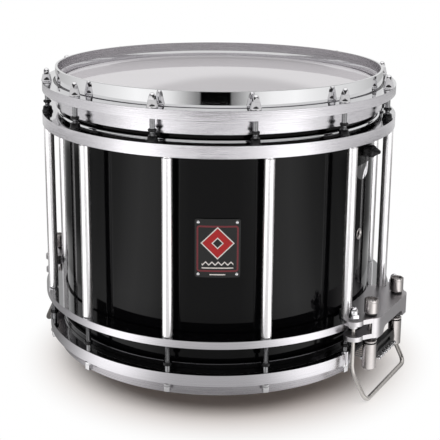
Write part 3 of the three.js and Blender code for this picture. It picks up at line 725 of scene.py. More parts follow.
# The snare hoop is its counterpart below: a rim on the floor side, a drilled flange, and a gate cut
# at each bracket where the snares come out, with bosses for the rods beside the gates.
snare_rim_base = 23
snare_rim_inner = 184
snare_rim_outer = 188.5
snare_flange_base = 36.5
snare_flange_top = 48.8
snare_flange_outer = 197.6
snare_lip_top = 45.2
gate_half_width = 32
gate_top = 41
gate_inner = 175
flange_cut_half_width = 44
flange_cut_start = 190.5
flange_cut_base = 34
flange_cut_top = 52
cut_end = 200
gate_boss_radius = 5
gate_boss_top = 51
post_lead = radians(15)
post_x = rod_circle * cos(post_lead)
post_y = rod_circle * sin(post_lead)
snare_profile = [
    (lip_inner, snare_lip_top),
    (lip_inner, snare_flange_base + 2),
    (snare_rim_inner, snare_flange_base),
    (snare_rim_inner, snare_rim_base),
    (snare_rim_outer, snare_rim_base),
    (snare_rim_outer, snare_flange_base),
    (snare_flange_outer, snare_flange_base),
    (snare_flange_outer, snare_flange_top),
    (hoop_inner, snare_flange_top),
    (hoop_inner, snare_lip_top),
]


def cuboid(name, x0, x1, y0, y1, z0, z1):
    """A block between these limits, in millimetres."""
    block = fresh(bpy.ops.mesh.primitive_cube_add, name, size=mm)
    block.scale = (abs(x1 - x0), abs(y1 - y0), abs(z1 - z0))
    return set_down(block, (x0 + x1) / 2, (y0 + y1) / 2, (z0 + z1) / 2)


polished, tree, shader, place = new_look("polished_top", (0.80, 0.80, 0.81), 1, 0.07)
roughened(tree, shader, noise(tree, place, 60, 3), 0.05, 0.10)

snare_hoop = turned("snare_hoop_casting", snare_profile)
for side in (-1, 1):
    for hand in (-1, 1):
        at = (side * post_x, hand * post_y, snare_flange_base, gate_boss_top)
        combined(snare_hoop, bar_along_z("gate_boss", gate_boss_radius, *at), "UNION")
    for name, start, half_width, base, top in (
        ("gate", gate_inner, gate_half_width, snare_rim_base - overrun, gate_top),
        ("notch", flange_cut_start, flange_cut_half_width, flange_cut_base, flange_cut_top),
    ):
        cut = cuboid(name, side * start, side * cut_end, -half_width, half_width, base, top)
        combined(snare_hoop, cut, "DIFFERENCE")
drilled(snare_hoop, snare_flange_base, gate_boss_top, post_lead)
dressed(eased(snare_hoop, 0.5), satin, polished, shaded_satin)
repainted(snare_hoop, 1, lambda radius, z, normal: normal.z > 0.8 and z > snare_flange_base + 1)
# The rim on the floor side takes the darker satin: painted shade.
repainted(snare_hoop, 2, lambda radius, z, normal: z < snare_flange_base - 0.1)
fitted(snare_hoop, "root", "hoop_cast", "snare_hoop")

# Two flat aluminium rings make the cage. The top ring stands off the shell, with a bright bead at
# its inner edge, and holds the batter rods in twelve black threaded cups; the bottom one is plain.
ring_inner = 179
top_ring_outer = 200
top_ring_base = 276.2
top_ring_top = 289.1
bottom_ring_outer = 201
bottom_ring_base = 79.2
bottom_ring_top = 87.1
bead_base = top_ring_top - 0.2
bead_width = 3.2
bead_height = 2
cup_radius = 6
cup_base = top_ring_top - 0.2
cup_top = 295.6
bead_profile = [
    (ring_inner, bead_base),
    (ring_inner + bead_width, bead_base),
    (ring_inner + bead_width, bead_base + bead_height / 2),
    (ring_inner + 2.6, bead_base + 1.7),
    (ring_inner + bead_width / 2, bead_base + bead_height),
    (ring_inner + 0.6, bead_base + 1.7),
    (ring_inner, bead_base + bead_height / 2),
]
cup_profile = [
    (rod_hole, cup_base),
    (cup_radius, cup_base),
    (cup_radius, top_ring_top + 1.4),
    (cup_radius - 0.8, top_ring_top + 2.2),
    (cup_radius - 1.2, cup_top - 0.8),
    (cup_radius - 1.7, cup_top),
    (rod_hole, cup_top),
]
# Black plating for cups, collars and other black parts; in the vent's bore it is painted shade.
blacked, tree, shader, place = new_look("black_plating_and_bore_shade", (0.012, 0.012, 0.013), 0.6, 0.2)
roughened(tree, shader, noise(tree, place, 300, 3), 0.14, 0.3)
bumped(tree, shader, noise(tree, place, 1500, 2), 0.00001)


def copied(piece, name):
    """A copy of a piece, with its own mesh."""
    picked(piece)
    bpy.ops.object.duplicate(linked=False)
    return named(bpy.context.active_object, name)


def on_circle(piece, name, angle):
    """A copy of a piece made on the axis, set on the rod circle."""
    x, y = rod_circle * cos(angle), rod_circle * sin(angle)
    return set_down(copied(piece, name), x, y, about_z=angle)


def cage_ring(name, outer, base, top, lead):
    """A flat ring, drilled for its rods, with a polished upper face."""
    ring = turned(name, [(ring_inner, base), (outer, base), (outer, top), (ring_inner, top)])
    drilled(ring, base, top, lead)
    dressed(eased(ring, 0.7), satin, polished)
    repainted(ring, 1, lambda radius, z, normal: normal.z > 0.8)
    return ring


ring_limits = (top_ring_outer, top_ring_base, top_ring_top)
top_ring = cage_ring("top_cage_ring", *ring_limits, top_rod_lead)
bead = dressed(smoothed(turned("ring_bead", bead_profile), 60), bright)
cup = dressed(smoothed(turned("rod_cup", cup_profile, 36), 32), blacked)
cups = [on_circle(cup, "cup", angle) for angle in rod_angles(top_rod_lead)]
bpy.data.objects.remove(cup)
fitted(joined([top_ring, bead, *cups], "top_cage_ring"), "root", "hoop_cast", "top_ring")
ring_limits = (bottom_ring_outer, bottom_ring_base, bottom_ring_top)
bottom_ring = cage_ring("bottom_cage_ring", *ring_limits, post_lead)
fitted(bottom_ring, "root", "hoop_cast", "bottom_ring")

# Twelve aluminium tubes stand between the rings. Each is drawn and satin anodised, relieved at both
# ends, and tapped from below for its lower tuning rod.
post_radius = 5.5
post_base = 87.4
post_top = 275.9
post_bore_top = 103.4
relief = 0.9
relief_height = 0.7
relief_slope = 0.6
post_profile = [
    (0, post_bore_top),
    (rod_hole, post_bore_top),
    (rod_hole, post_base),
    (post_radius - relief, post_base),
    (post_radius - relief, post_base + relief_height),
    (post_radius, post_base + relief_height + relief_slope),
    (post_radius, post_top - relief_height - relief_slope),
    (post_radius - relief, post_top - relief_height),
    (post_radius - relief, post_top),
    (0, post_top),
]


def set_round(piece, name, node, lead, slot, moving=True):
    """Sets twelve copies on the rod circle, each for its own node, and removes the first."""
    for number, angle in enumerate(rod_angles(lead), 1):
        each = on_circle(piece, f"{name}_{number:02d}", angle)
        own = f"{node}_{number:02d}"
        fitted(each, own if moving else "root", slot, own)
    bpy.data.objects.remove(piece)


tube, tree, shader, place = new_look("anodised_tube", (0.93, 0.93, 0.94), 0.9, 0.28)
lines = noise(tree, mapped(tree, place, scale=(1, 1, 0.02)), 2600, 3)
tinted(tree, shader, lines, (0.93, 0.92, 0.935), (0.96, 0.95, 0.965))
roughened(tree, shader, lines, 0.22, 0.28)
bumped(tree, shader, lines, 0.000008)
post = dressed(smoothed(turned("post", post_profile, 40), 30), tube)
set_round(post, "cage_post", "post", post_lead, "post_tube", moving=False)

# Twelve chromed steel rods tension the batter head. A bell with a square key end sits on the hoop's
# flange, and a black stop collar rides on the shaft above the ring's cup.
rod_radius = 2.7
rod_seat = 323.5
rod_tip = 278.1
thread_end = 299
thread_pitch = 0.9
thread_depth = 0.3
key_size = 6.3
flat_start = 7.6
flat_end = 16
flat_reach = 9
bell_profile = [
    (0, 0), (5.6, 0), (5.9, 0.4), (5.9, 1.0), (5.6, 2.0), (5.2, 3.4), (4.75, 5.4), (4.3, 7.5),
    (3.9, 9.3), (3.45, 10.9), (3.0, 12.2), (2.5, 13.3), (1.8, 14.0), (0.9, 14.35), (0, 14.4),
]
collar_bore = 2.75
stop_collar_profile = [
    (collar_bore, 299.3),
    (3.8, 299.4),
    (4.4, 300.1),
    (4.4, 301.6),
    (3.8, 302.3),
    (collar_bore, 302.5),
]
# The rod shafts take a dark steel, far darker than the chrome: its dark colour is painted shade.
steel, tree, shader, place = new_look("threaded_steel_painted_shade", (0.22, 0.22, 0.225), 1, 0.2)
roughened(tree, shader, noise(tree, place, 400, 3), 0.15, 0.26)
chrome, tree, shader, place = new_look("chrome", (0.74, 0.73, 0.745), 1, 0.05)
roughened(tree, shader, noise(tree, place, 160, 3), 0.03, 0.09)
bumped(tree, shader, noise(tree, place, 500, 1), 0.000008)


def thread(base, top, radius):
    """The zigzag profile of a thread, going up."""
    points = []
    for k in range(int((top - base) / thread_pitch)):
        points.append((radius - thread_depth, base + k * thread_pitch))
        points.append((radius, base + (k + 0.5) * thread_pitch))
    return points


bell = turned("bell", [(radius, rod_seat + height) for radius, height in bell_profile], 48)
flat_limits = (-flat_reach, flat_reach, rod_seat + flat_start, rod_seat + flat_end)
for turn in (0, pi / 2):
    for side in (1, -1):
        flat = cuboid("flat", side * key_size / 2, side * flat_reach, *flat_limits)
        combined(bell, set_down(flat, about_z=turn), "DIFFERENCE")
dressed(smoothed(bell, 24), chrome)
shaft_profile = [
    (0, rod_tip),
    *thread(rod_tip, thread_end, rod_radius),
    (rod_radius, thread_end + 0.5),
    (rod_radius, rod_seat + 0.5),
    (0, rod_seat + 0.5),
]
shaft = dressed(smoothed(turned("shaft", shaft_profile, 32), 38), steel)
collar = dressed(smoothed(turned("stop_collar", stop_collar_profile, 32), 35), blacked)
top_rod = joined([shaft, bell, collar], "top_rod")
set_round(top_rod, "batter_rod", "top_rod", top_rod_lead, "rod_steel")

# Twelve more rods pull the snare hoop up. Their square ends and washers sit under its flange, and
# their shafts run up through the bottom ring into the posts, each with a dark collar.
low_seat = 36.2
low_washer_base = 32.8
low_washer_radius = 4.5
low_key_base = 26.9
low_thread_start = 60
low_tip = 100.4
low_rod_profile = [
    (0, low_washer_base - 0.4),
    (low_washer_radius - 1.1, low_washer_base - 0.4),
    (low_washer_radius - 0.4, low_washer_base + 0.4),
    (low_washer_radius, low_washer_base + 1.4),
    (low_washer_radius, low_seat),
    (rod_radius, low_seat),
    (rod_radius, low_thread_start),
    *thread(low_thread_start + 0.5, low_tip - 1, rod_radius),
    (rod_radius - 0.8, low_tip),
    (0, low_tip),
]
dark_collar_profile = [
    (collar_bore, 56.2),
    (4.2, 56.2),
    (4.7, 56.8),
    (4.7, 59.2),
    (4.2, 59.8),
    (collar_bore, 59.8),
]
low_rod = dressed(smoothed(turned("low_rod", low_rod_profile, 32), 38), chrome, steel)
# Above its seat the shaft takes the dark steel: painted shade.
repainted(low_rod, 1, lambda radius, z, normal: z > low_seat + 0.1)
half_key = key_size / 2
key_level = (low_key_base, low_washer_base + 0.5)
key = cuboid("key_end", -half_key, half_key, -half_key, half_key, *key_level)
dressed(eased(key, 0.7, 3), chrome)
collar = dressed(smoothed(turned("dark_collar", dark_collar_profile, 32), 35), blacked)
low_rod = joined([low_rod, key, collar], "low_rod")
set_round(low_rod, "snare_rod", "low_rod", post_lead, "rod_steel")

# A satin aluminium casting sits on the bottom ring at each side and carries the snare unit and the
# bail: a top plate, a shelf under it, an arched outer wall, and a round eye for each bail leg.
bracket_underside = 87.4
bracket_top = 92.6
bracket_base = 70.5
bracket_shelf = 75.5
bracket_edge = 11.5
bracket_wall = 5.5
shelf_inner = 200.5
shelf_half_width = 45
screw_x = 210.5
screw_y = post_y - 12.5
leg_x = 199.6
leg_y = post_y + 8.2
eye_radius = 10.5
inner_radius = 180
inner_span = 13
screw_boss_radius = 8
screw_boss_base = 67.6
leg_boss_radius = 5
leg_boss_base = 83
pocket_radius = 5.8
pocket_base = 84
screw_hole = 3.2
leg_hole = 2.9
hole_base = 60
hole_top = 96
arch_half = [(22, 78), (25, 77.2), (27.2, 75.6), (28.6, 73.4), (29, 71), (29, 64)]
arch_start = 194
arch_end = 226


def arc(x, y, radius, start, end, steps=14):
    """Points along an arc, its angles in degrees."""
    angles = [radians(start + (end - start) * k / steps) for k in range(steps + 1)]
    return [(x + radius * cos(a), y + radius * sin(a)) for a in angles]


def both_hands(half):
    """An outline's +Y half, from the outer wall round to the shell, with its mirror image."""
    return [(x, -y) for x, y in reversed(half)] + half


def raised(name, outline, base, top):
    """Fills an outline and extrudes it from one level to another."""
    drawn_line(name, [(x, y, base) for x, y in [*outline, outline[0]]])
    bpy.ops.mesh.remove_doubles(threshold=seam * mm)
    bpy.ops.mesh.select_all(action="SELECT")
    bpy.ops.mesh.edge_face_add()
    rise = (0, 0, (top - base) * mm)
    bpy.ops.mesh.extrude_region_move(TRANSFORM_OT_translate={"value": rise})
    closed()
    return bpy.context.active_object


def stood_up(name, outline, inner, outer):
    """A raised outline in Y and Z, that reaches along X from inner to outer."""
    return set_down(raised(name, outline, inner, outer), about_x=pi / 2, about_z=pi / 2)


def both_sides(piece, names):
    """Copies a right-hand piece to the left, turned half round, and names both."""
    left = set_down(copied(piece, names[1]), about_z=pi)
    return named(piece, names[0]), left


casting, tree, shader, place = new_look("satin_casting", (0.50, 0.49, 0.495), 1, 0.38)
skin = noise(tree, place, 420, 5, 0.6)
tinted(tree, shader, skin, (0.59, 0.57, 0.585), (0.64, 0.62, 0.635))
roughened(tree, shader, skin, 0.3, 0.38)
bumped(tree, shader, skin, 0.00002)

corner = arc(screw_x, screw_y, bracket_edge, 0, 60)
lobes = [*corner, *arc(leg_x, leg_y, eye_radius, -10, 200, 24)]
inner_edge = arc(0, 0, inner_radius, inner_span, 0, 10)
plate_outline = both_hands([*lobes, *inner_edge])[:-1]
shelf_outline = both_hands([*lobes, (shelf_inner, shelf_half_width)])
wall_outline = both_hands([*corner, *arc(screw_x, screw_y, bracket_edge - bracket_wall, 60, 0)])
bracket = raised("bracket", plate_outline, bracket_underside, bracket_top)
shelf = raised("shelf", shelf_outline, bracket_base, bracket_shelf)
wall = raised("wall", wall_outline, bracket_base + 1, bracket_top - 1)
combined(bracket, shelf, "UNION")
combined(bracket, wall, "UNION")
for hand in (-1, 1):
    at = (screw_x, hand * screw_y, screw_boss_base, bracket_shelf - 1)
    combined(bracket, bar_along_z("screw_boss", screw_boss_radius, *at), "UNION")
    at = (leg_x, hand * leg_y, leg_boss_base, bracket_top - 1)
    combined(bracket, bar_along_z("leg_boss", leg_boss_radius, *at), "UNION")
arch_outline = [(-y, z) for y, z in reversed(arch_half)] + arch_half
combined(bracket, stood_up("arch", arch_outline, arch_start, arch_end), "DIFFERENCE")
for hand in (-1, 1):
    for radius, x, y, base in (
        (pocket_radius, post_x, post_y, pocket_base),
        (screw_hole, screw_x, screw_y, hole_base),
        (leg_hole, leg_x, leg_y, hole_base),
    ):
        hole = bar_along_z("hole", radius, x, hand * y, base, hole_top)
        combined(bracket, hole, "DIFFERENCE")
dressed(eased(bracket, 0.8, 3, 35), casting, blacked)
repainted(bracket, 1, lambda radius, z, normal: z < bracket_base - 0.4)
for piece, side in zip(both_sides(bracket, ("casting_right", "casting_left")), ("right", "left")):
    fitted(piece, "root", "bracket_cast", f"snare_bracket_{side}")

# Two satin nickelled knobs on each casting raise and lower the snare bridge. Each is turned smooth,
# notched round its open top, and sits on a black ring; its screw runs down into the sleeve.
knob_radius = 7.4
knob_base = 94.9
knob_top = 110.7
knob_groove = 2.9
well_radius = 5
well_depth = 1.4
notch_count = 14
notch_width = 1
notch_depth = 0.7
notch_reach = 9
notch_lead = 0.3
adjuster_turn = 0.4
screw_radius = 2.7
screw_tip = 44
seal_radius = 5.5
seal_thickness = 2
seal_level = bracket_top + 1.35
knob_profile = [
    (0, knob_base - 0.2),
    (6.2, knob_base - 0.2),
    (knob_radius - 0.4, knob_base + 0.5),
    (knob_radius, knob_base + 1.2),
    (knob_radius, knob_top - knob_groove - 0.3),
    (knob_radius - 0.25, knob_top - knob_groove),
    (knob_radius, knob_top - knob_groove + 0.3),
    (knob_radius, knob_top - 0.7),
    (knob_radius - 0.7, knob_top),
    (0, knob_top),
]
shank_profile = [
    (0, screw_tip),
    (screw_radius - 0.7, screw_tip),
    *thread(screw_tip + 0.7, bracket_base - 2, screw_radius),
    (screw_radius, bracket_base),
    (screw_radius, knob_base + 1),
    (0, knob_base + 1),
]
nickel, tree, shader, place = new_look("satin_nickel", (0.66, 0.63, 0.615), 1, 0.3)
cloudy = noise(tree, place, 240, 4)
tinted(tree, shader, cloudy, (0.51, 0.48, 0.47), (0.54, 0.51, 0.50))
roughened(tree, shader, cloudy, 0.22, 0.26)
rubber, tree, shader, place = new_look("black_ring", (0.012, 0.012, 0.012), 0, 0.45)
roughened(tree, shader, noise(tree, place, 900, 3), 0.38, 0.55)
bumped(tree, shader, noise(tree, place, 1800, 2), 0.00002)

knob = turned("knob", knob_profile, 64)
well = bar_along_z("well", well_radius, 0, 0, knob_top - well_depth, knob_top + 1)
combined(knob, well, "DIFFERENCE")
for k in range(notch_count // 2):
    limits = (-notch_reach, notch_reach, -notch_width / 2, notch_width / 2)
    notch = cuboid("notch", *limits, knob_top - notch_depth, knob_top + 1)
    set_down(notch, about_z=k * 2 * pi / notch_count + notch_lead)
    combined(knob, notch, "DIFFERENCE")
dressed(smoothed(knob, 25), nickel)
seal = fresh(
    bpy.ops.mesh.primitive_torus_add,
    "seal",
    major_radius=seal_radius * mm,
    minor_radius=seal_thickness / 2 * mm,
    major_segments=48,
    minor_segments=12,
)
set_down(seal, 0, 0, seal_level)
bpy.ops.object.shade_smooth()
dressed(seal, rubber)
shank = dressed(smoothed(turned("shank", shank_profile, 28), 38), nickel)
knob = joined([knob, seal, shank], "knob")
for side, across in (("right", 1), ("left", -1)):
    for end, along in (("front", -1), ("rear", 1)):
        each = copied(knob, f"adjuster_{side}_{end}")
        set_down(each, across * screw_x, along * screw_y, about_z=along * adjuster_turn)
        body = f"height_knob_{side}_{end}"
        fitted(each, body, "knob_satin", body)
bpy.data.objects.remove(knob)

# The snare unit below: at each side two satin sleeves take the knobs' screws, and a black cast
# bridge between them carries a clamp bar and ten small screws, one for each strand.
sleeve_radius = 7.3
sleeve_base = 32
sleeve_top = 64
sleeve_bore_top = 40
sleeve_bore = 3.2
groove_top = sleeve_top - 1.9
groove_base = sleeve_top - 2.6
groove_depth = 0.9
bridge_x = 206
bridge_depth = 7
bridge_half = 32.5
bridge_base = 36.5
bridge_shoulder = 47
bridge_top = 52
opening_start = bridge_x + 4
opening_end = bridge_x + 9
clamp_start = 204
clamp_end = 211
clamp_half = 28
clamp_base = 33.4
clamp_top = 38.5
strand_count = 10
strand_pitch = 5
strand_screw_level = 38.5
strand_screw_rise = 1.1
screw_start = 211
screw_head_start = 214.4
screw_socket = 216.6
screw_end = 218
sleeve_profile = [
    (0, sleeve_base),
    (sleeve_radius - 0.8, sleeve_base),
    (sleeve_radius, sleeve_base + 0.8),
    (sleeve_radius, groove_base - 0.6),
    (sleeve_radius - groove_depth, groove_base),
    (sleeve_radius - groove_depth, groove_top),
    (sleeve_radius, groove_top + 0.5),
    (sleeve_radius, sleeve_top - 0.5),
    (sleeve_radius - 0.5, sleeve_top),
    (sleeve_bore, sleeve_top),
    (sleeve_bore, sleeve_bore_top),
    (0, sleeve_bore_top),
]
bridge_outline = [
    (-bridge_half, bridge_base),
    (-bridge_half, bridge_shoulder),
    (-bridge_half + 6, bridge_top),
    (bridge_half - 6, bridge_top),
    (bridge_half, bridge_shoulder),
    (bridge_half, bridge_base),
]
opening_outline = [(-20, 43), (-17, 48), (17, 48), (20, 43)]
strand_screw_profile = [
    (0, screw_start),
    (1.1, screw_start),
    (1.1, screw_head_start),
    (1.9, screw_head_start),
    (1.9, screw_end - 0.5),
    (1.4, screw_end),
    (0.9, screw_end),
    (0.9, screw_socket),
    (0, screw_socket),
]
coated, tree, shader, place = new_look("black_casting", (0.02, 0.02, 0.021), 0.2, 0.4)
skin = noise(tree, place, 500, 4)
roughened(tree, shader, skin, 0.32, 0.5)
bumped(tree, shader, skin, 0.00005)

sleeve = dressed(smoothed(turned("sleeve", sleeve_profile, 48), 30), nickel, blacked)
repainted(sleeve, 1, lambda radius, z, normal: groove_base - 0.5 < z < groove_top + 0.4)
set_down(sleeve, screw_x, screw_y)
other_sleeve = set_down(copied(sleeve, "sleeve"), 0, -2 * screw_y)
bridge = stood_up("bridge", bridge_outline, bridge_x, bridge_x + bridge_depth)
opening = stood_up("opening", opening_outline, opening_start, opening_end)
combined(bridge, opening, "DIFFERENCE")
dressed(eased(bridge, 0.7), coated)
clamp_limits = (clamp_start, clamp_end, -clamp_half, clamp_half)
clamp = cuboid("clamp", *clamp_limits, clamp_base, clamp_top)
dressed(eased(clamp, 0.6), coated)
strand_screw = turned("strand_screw", strand_screw_profile, 16)
set_down(strand_screw, 0, 0, strand_screw_level, about_y=pi / 2)
dressed(smoothed(strand_screw, 35), chrome)
screws = []
for k in range(strand_count):
    across = (k - (strand_count - 1) / 2) * strand_pitch
    screws.append(set_down(copied(strand_screw, "screw"), 0, across, k % 2 * strand_screw_rise))
bpy.data.objects.remove(strand_screw)
unit = joined([bridge, clamp, sleeve, other_sleeve, *screws], "bridge_right")
for piece, side in zip(both_sides(unit, ("bridge_right", "bridge_left")), ("right", "left")):
    fitted(piece, "snare_unit", "bridge_black", f"snare_bridge_{side}")

# Ten cables of twisted steel run under the snare film from one clamp to the other, soldered into a
# plate at each end.
strand_level = 34.7
strand_radius = 0.6
strand_reach = 200
plate_start = 195.7
plate_end = 203.7
plate_margin = 3
plate_base = strand_level - 1.65
plate_top = strand_level + 0.95
twisted, tree, shader, place = new_look("twisted_steel", (0.62, 0.61, 0.60), 1, 0.3)
lay = tree.nodes.new("ShaderNodeTexWave")
lay.wave_type = "BANDS"
lay.bands_direction = "DIAGONAL"
lay.inputs["Scale"].default_value = 260
linked(tree, place, lay.inputs["Vector"])
roughened(tree, shader, lay.outputs["Fac"], 0.42, 0.22, 0, 1)
bumped(tree, shader, lay.outputs["Fac"], 0.0001)

strand_pieces = []
half = (strand_count - 1) / 2 * strand_pitch + plate_margin
for side in (-1, 1):
    along = (side * plate_start, side * plate_end)
    plate = cuboid("end_plate", *along, -half, half, plate_base, plate_top)
    strand_pieces.append(dressed(eased(plate, 0.3), chrome))
for k in range(strand_count):
    strand = bar_along_x("strand", strand_radius, -strand_reach, strand_reach, strand_level, 8)
    set_down(strand, 0, (k - (strand_count - 1) / 2) * strand_pitch)
    strand_pieces.append(dressed(smoothed(strand, 50), twisted))
strands = joined(strand_pieces, "lower_strands")
fitted(strands, "snare_unit", "snare_wire", "snare_strands")

# Each bail is a bent stainless wire that keeps the snare unit off the floor. Its legs go up through
# the casting's eyes and are held by chromed acorn nuts.
wire_radius = 2.5
knee_level = 33.5
foot_x = leg_x + 16.9
foot_y = leg_y - 1.2
foot_level = 2.25
leg_top = 98
bend = 9
bend_steps = 8
nut_base = 92.9
nut_top = 98.4
nut_radius = 6.2
nut_turn = 0.35
crown_profile = [(0, 92), (5.4, 92), (6.3, 93.6), (6.3, 97.5), (5.5, 98.5), (0, 98.5)]
dome_profile = [
    (0, 98), (4.9, 98), (4.9, 98.9), (4.5, 99.3), (4.4, 101.4), (4.0, 103.2), (3.0, 104.8),
    (1.6, 105.7), (0, 105.9),
]
corners = [
    (leg_x, -leg_y, leg_top),
    (leg_x, -leg_y, knee_level),
    (foot_x, -foot_y, foot_level),
    (foot_x, foot_y, foot_level),
    (leg_x, leg_y, knee_level),
    (leg_x, leg_y, leg_top),
]
stainless, tree, shader, place = new_look("stainless_wire", (0.70, 0.665, 0.635), 1, 0.2)
scuffs = noise(tree, place, 240, 5, 0.7)
tinted(tree, shader, scuffs, (0.45, 0.425, 0.405), (0.53, 0.505, 0.485))
roughened(tree, shader, scuffs, 0.14, 0.3)
bumped(tree, shader, scuffs, 0.00002)


def toward(here, there, reach):
    """A point this far from one point to another."""
    span = sqrt(sum((b - a) ** 2 for a, b in zip(here, there)))
    return tuple(a + (b - a) * reach / span for a, b in zip(here, there))


route = [corners[0]]
for before, corner, after in zip(corners, corners[1:], corners[2:]):
    start = toward(corner, before, bend)
    end = toward(corner, after, bend)
    for k in range(bend_steps + 1):
        t = k / bend_steps
        weights = ((1 - t) ** 2, 2 * t * (1 - t), t * t)
        axes = zip(start, corner, end)
        route.append(tuple(sum(w * c for w, c in zip(weights, axis)) for axis in axes))
route.append(corners[-1])
drawn_line("bail", route)
bpy.ops.object.mode_set(mode="OBJECT")
bpy.ops.object.convert(target="CURVE")
bail = bpy.context.active_object
bail.data.bevel_depth = wire_radius * mm
bail.data.bevel_resolution = 6
bail.data.use_fill_caps = True
bpy.ops.object.convert(target="MESH")
bail = bpy.context.active_object
bpy.ops.object.mode_set(mode="EDIT")
bpy.ops.mesh.select_all(action="SELECT")
bpy.ops.mesh.remove_doubles(threshold=seam * mm)
bpy.ops.mesh.bisect(plane_co=(0, 0, 0), plane_no=(0, 0, 1), use_fill=True, clear_inner=True)
closed()
dressed(smoothed(bail, 40), stainless)
bail_pieces = [bail]
for hand in (-1, 1):
    nut = bar_along_z("nut", nut_radius, 0, 0, nut_base, nut_top, 6)
    combined(nut, turned("nut_crown", crown_profile, 48), "INTERSECT")
    dressed(smoothed(nut, 30), chrome)
    dome = dressed(smoothed(turned("nut_dome", dome_profile, 32), 40), chrome)
    nut = set_down(joined([nut, dome], "nut"), leg_x, hand * leg_y, about_z=nut_turn)
    bail_pieces.append(nut)
bails = both_sides(joined(bail_pieces, "bail"), ("wire_bail_right", "wire_bail_left"))
for piece, side in zip(bails, ("right", "left")):
    fitted(piece, "root", "bail_wire", f"bail_{side}")

# The badge is a black enamelled plate curved to the shell and held by four bright rivets. It has a
# red border, a red lozenge outlined in white, a white zigzag and two white rules.
badge_angle = radians(-60)
badge_width = 46
badge_height = 62
badge_corner = 2.5
badge_level = shell_base + 141.7
badge_back = 177.3
badge_face = 178.5
band_overrun = 2
cutter_inside = 20
cutter_outside = 5
rivet_inset = 3.6
rivet_profile = [(0, 177.9), (1.7, 177.9), (1.7, 178.6), (1.4, 179.0), (0.8, 179.25), (0, 179.3)]
print_softness = 0.12
border_middle = -0.5
border_half_width = 21.2
border_half_height = 24.4
border_corner = 3
border_line_width = 1.8
lozenge_middle = 5.5
lozenge_lines = (4.8, 6.2, 15.6, 17.2)
zigzag_level = -17.6
zigzag_half_line = 0.8
tooth = 3.2
tooth_shift = 60
wide_mark = 16
narrow_mark = 8
rules = ((-21.4, -20.2, wide_mark), (-28.4, -27.2, narrow_mark))
enamel_black = (0.004, 0.004, 0.004)
border_red = (0.20, 0.018, 0.028)
lozenge_red = (0.50, 0.002, 0.004)
print_white = (0.88, 0.87, 0.86)
enamel, tree, shader, place = new_look("badge_enamel", enamel_black, 0, 0.16)
badge_axes = split_axes(tree, mapped(tree, place, rotation=(0, 0, -badge_angle)))
across = maths(tree, "MULTIPLY", badge_axes[1], 1 / mm)
up = maths(tree, "SUBTRACT", maths(tree, "MULTIPLY", badge_axes[2], 1 / mm), badge_level)
aside = maths(tree, "ABSOLUTE", across)


def under(tree, value, limit):
    """1 where the value is under the limit, with a soft edge."""
    shifted = maths(tree, "SUBTRACT", value, limit)
    return maths(tree, "SUBTRACT", 1, stepped(tree, shifted, -print_softness, print_softness))


def band(tree, value, low, high):
    """1 where the value is between the limits."""
    over = maths(tree, "SUBTRACT", 1, under(tree, value, low))
    return maths(tree, "MULTIPLY", under(tree, value, high), over)


def from_level(tree, level):
    """How far a point lies above or below a level of the badge."""
    return maths(tree, "ABSOLUTE", maths(tree, "SUBTRACT", up, level))


past_side = maths(tree, "SUBTRACT", aside, border_half_width - border_corner)
past_end = maths(
    tree, "SUBTRACT", from_level(tree, border_middle), border_half_height - border_corner
)
past = [maths(tree, "MAXIMUM", value, 0) for value in (past_side, past_end)]
squares = [maths(tree, "MULTIPLY", value, value) for value in past]
from_corner = maths(tree, "SQRT", maths(tree, "ADD", *squares))
outside_border = maths(tree, "SUBTRACT", from_corner, border_corner)
slant = maths(tree, "ADD", aside, from_level(tree, lozenge_middle))
first, second, third, fourth = lozenge_lines
teeth = maths(tree, "PINGPONG", maths(tree, "ADD", across, tooth_shift), tooth)
zigzag = maths(tree, "SUBTRACT", maths(tree, "SUBTRACT", up, zigzag_level), teeth)
marks = [(zigzag, -zigzag_half_line, zigzag_half_line, wide_mark)]
marks += [(up, *rule) for rule in rules]
white = maths(
    tree, "MAXIMUM", band(tree, slant, first, second), band(tree, slant, third, fourth)
)
for value, low, high, half in marks:
    mark = maths(tree, "MULTIPLY", band(tree, value, low, high), under(tree, aside, half))
    white = maths(tree, "MAXIMUM", white, mark)
border_line = band(tree, outside_border, -border_line_width, 0)
paint = mixed(tree, border_line, enamel_black, border_red)
paint = mixed(tree, band(tree, slant, second, third), paint, lozenge_red)
linked(tree, mixed(tree, white, paint, print_white), shader.inputs["Base Color"])
roughened(tree, shader, noise(tree, place, 300, 3), 0.12, 0.2)


def curved_plate(name, inner, outer, outline, level):
    """Cuts a plate that follows the shell, with an outline in Y and Z, from a turned band at +X."""
    base = level + min(z for y, z in outline) - band_overrun
    top = level + max(z for y, z in outline) + band_overrun
    plate = turned(name, [(inner, base), (outer, base), (outer, top), (inner, top)])
    lifted = [(y, z + level) for y, z in outline]
    cutter = stood_up("cutter", lifted, inner - cutter_inside, outer + cutter_outside)
    return combined(plate, cutter, "INTERSECT")


half_width = badge_width / 2
half_height = badge_height / 2
badge_outline = []
for turn, side_y, side_z in ((0, 1, 1), (90, -1, 1), (180, -1, -1), (270, 1, -1)):
    middle = (side_y * (half_width - badge_corner), side_z * (half_height - badge_corner))
    badge_outline += arc(*middle, badge_corner, turn, turn + 90, 8)
badge = curved_plate("badge_plate", badge_back, badge_face, badge_outline, badge_level)
badge_pieces = [dressed(eased(badge, 0.3), enamel)]
lean = asin((half_width - rivet_inset) / shell_radius)
for hand in (-1, 1):
    for end in (-1, 1):
        rivet = set_down(turned("rivet", rivet_profile, 20), about_y=pi / 2)
        rivet_level = badge_level + end * (half_height - rivet_inset)
        set_down(rivet, 0, 0, rivet_level, about_z=hand * lean)
        badge_pieces.append(dressed(smoothed(rivet, 50), chrome))
badge = set_down(joined(badge_pieces, "badge_plate"), about_z=badge_angle)
fitted(badge, "root", "badge_enamel", "badge")

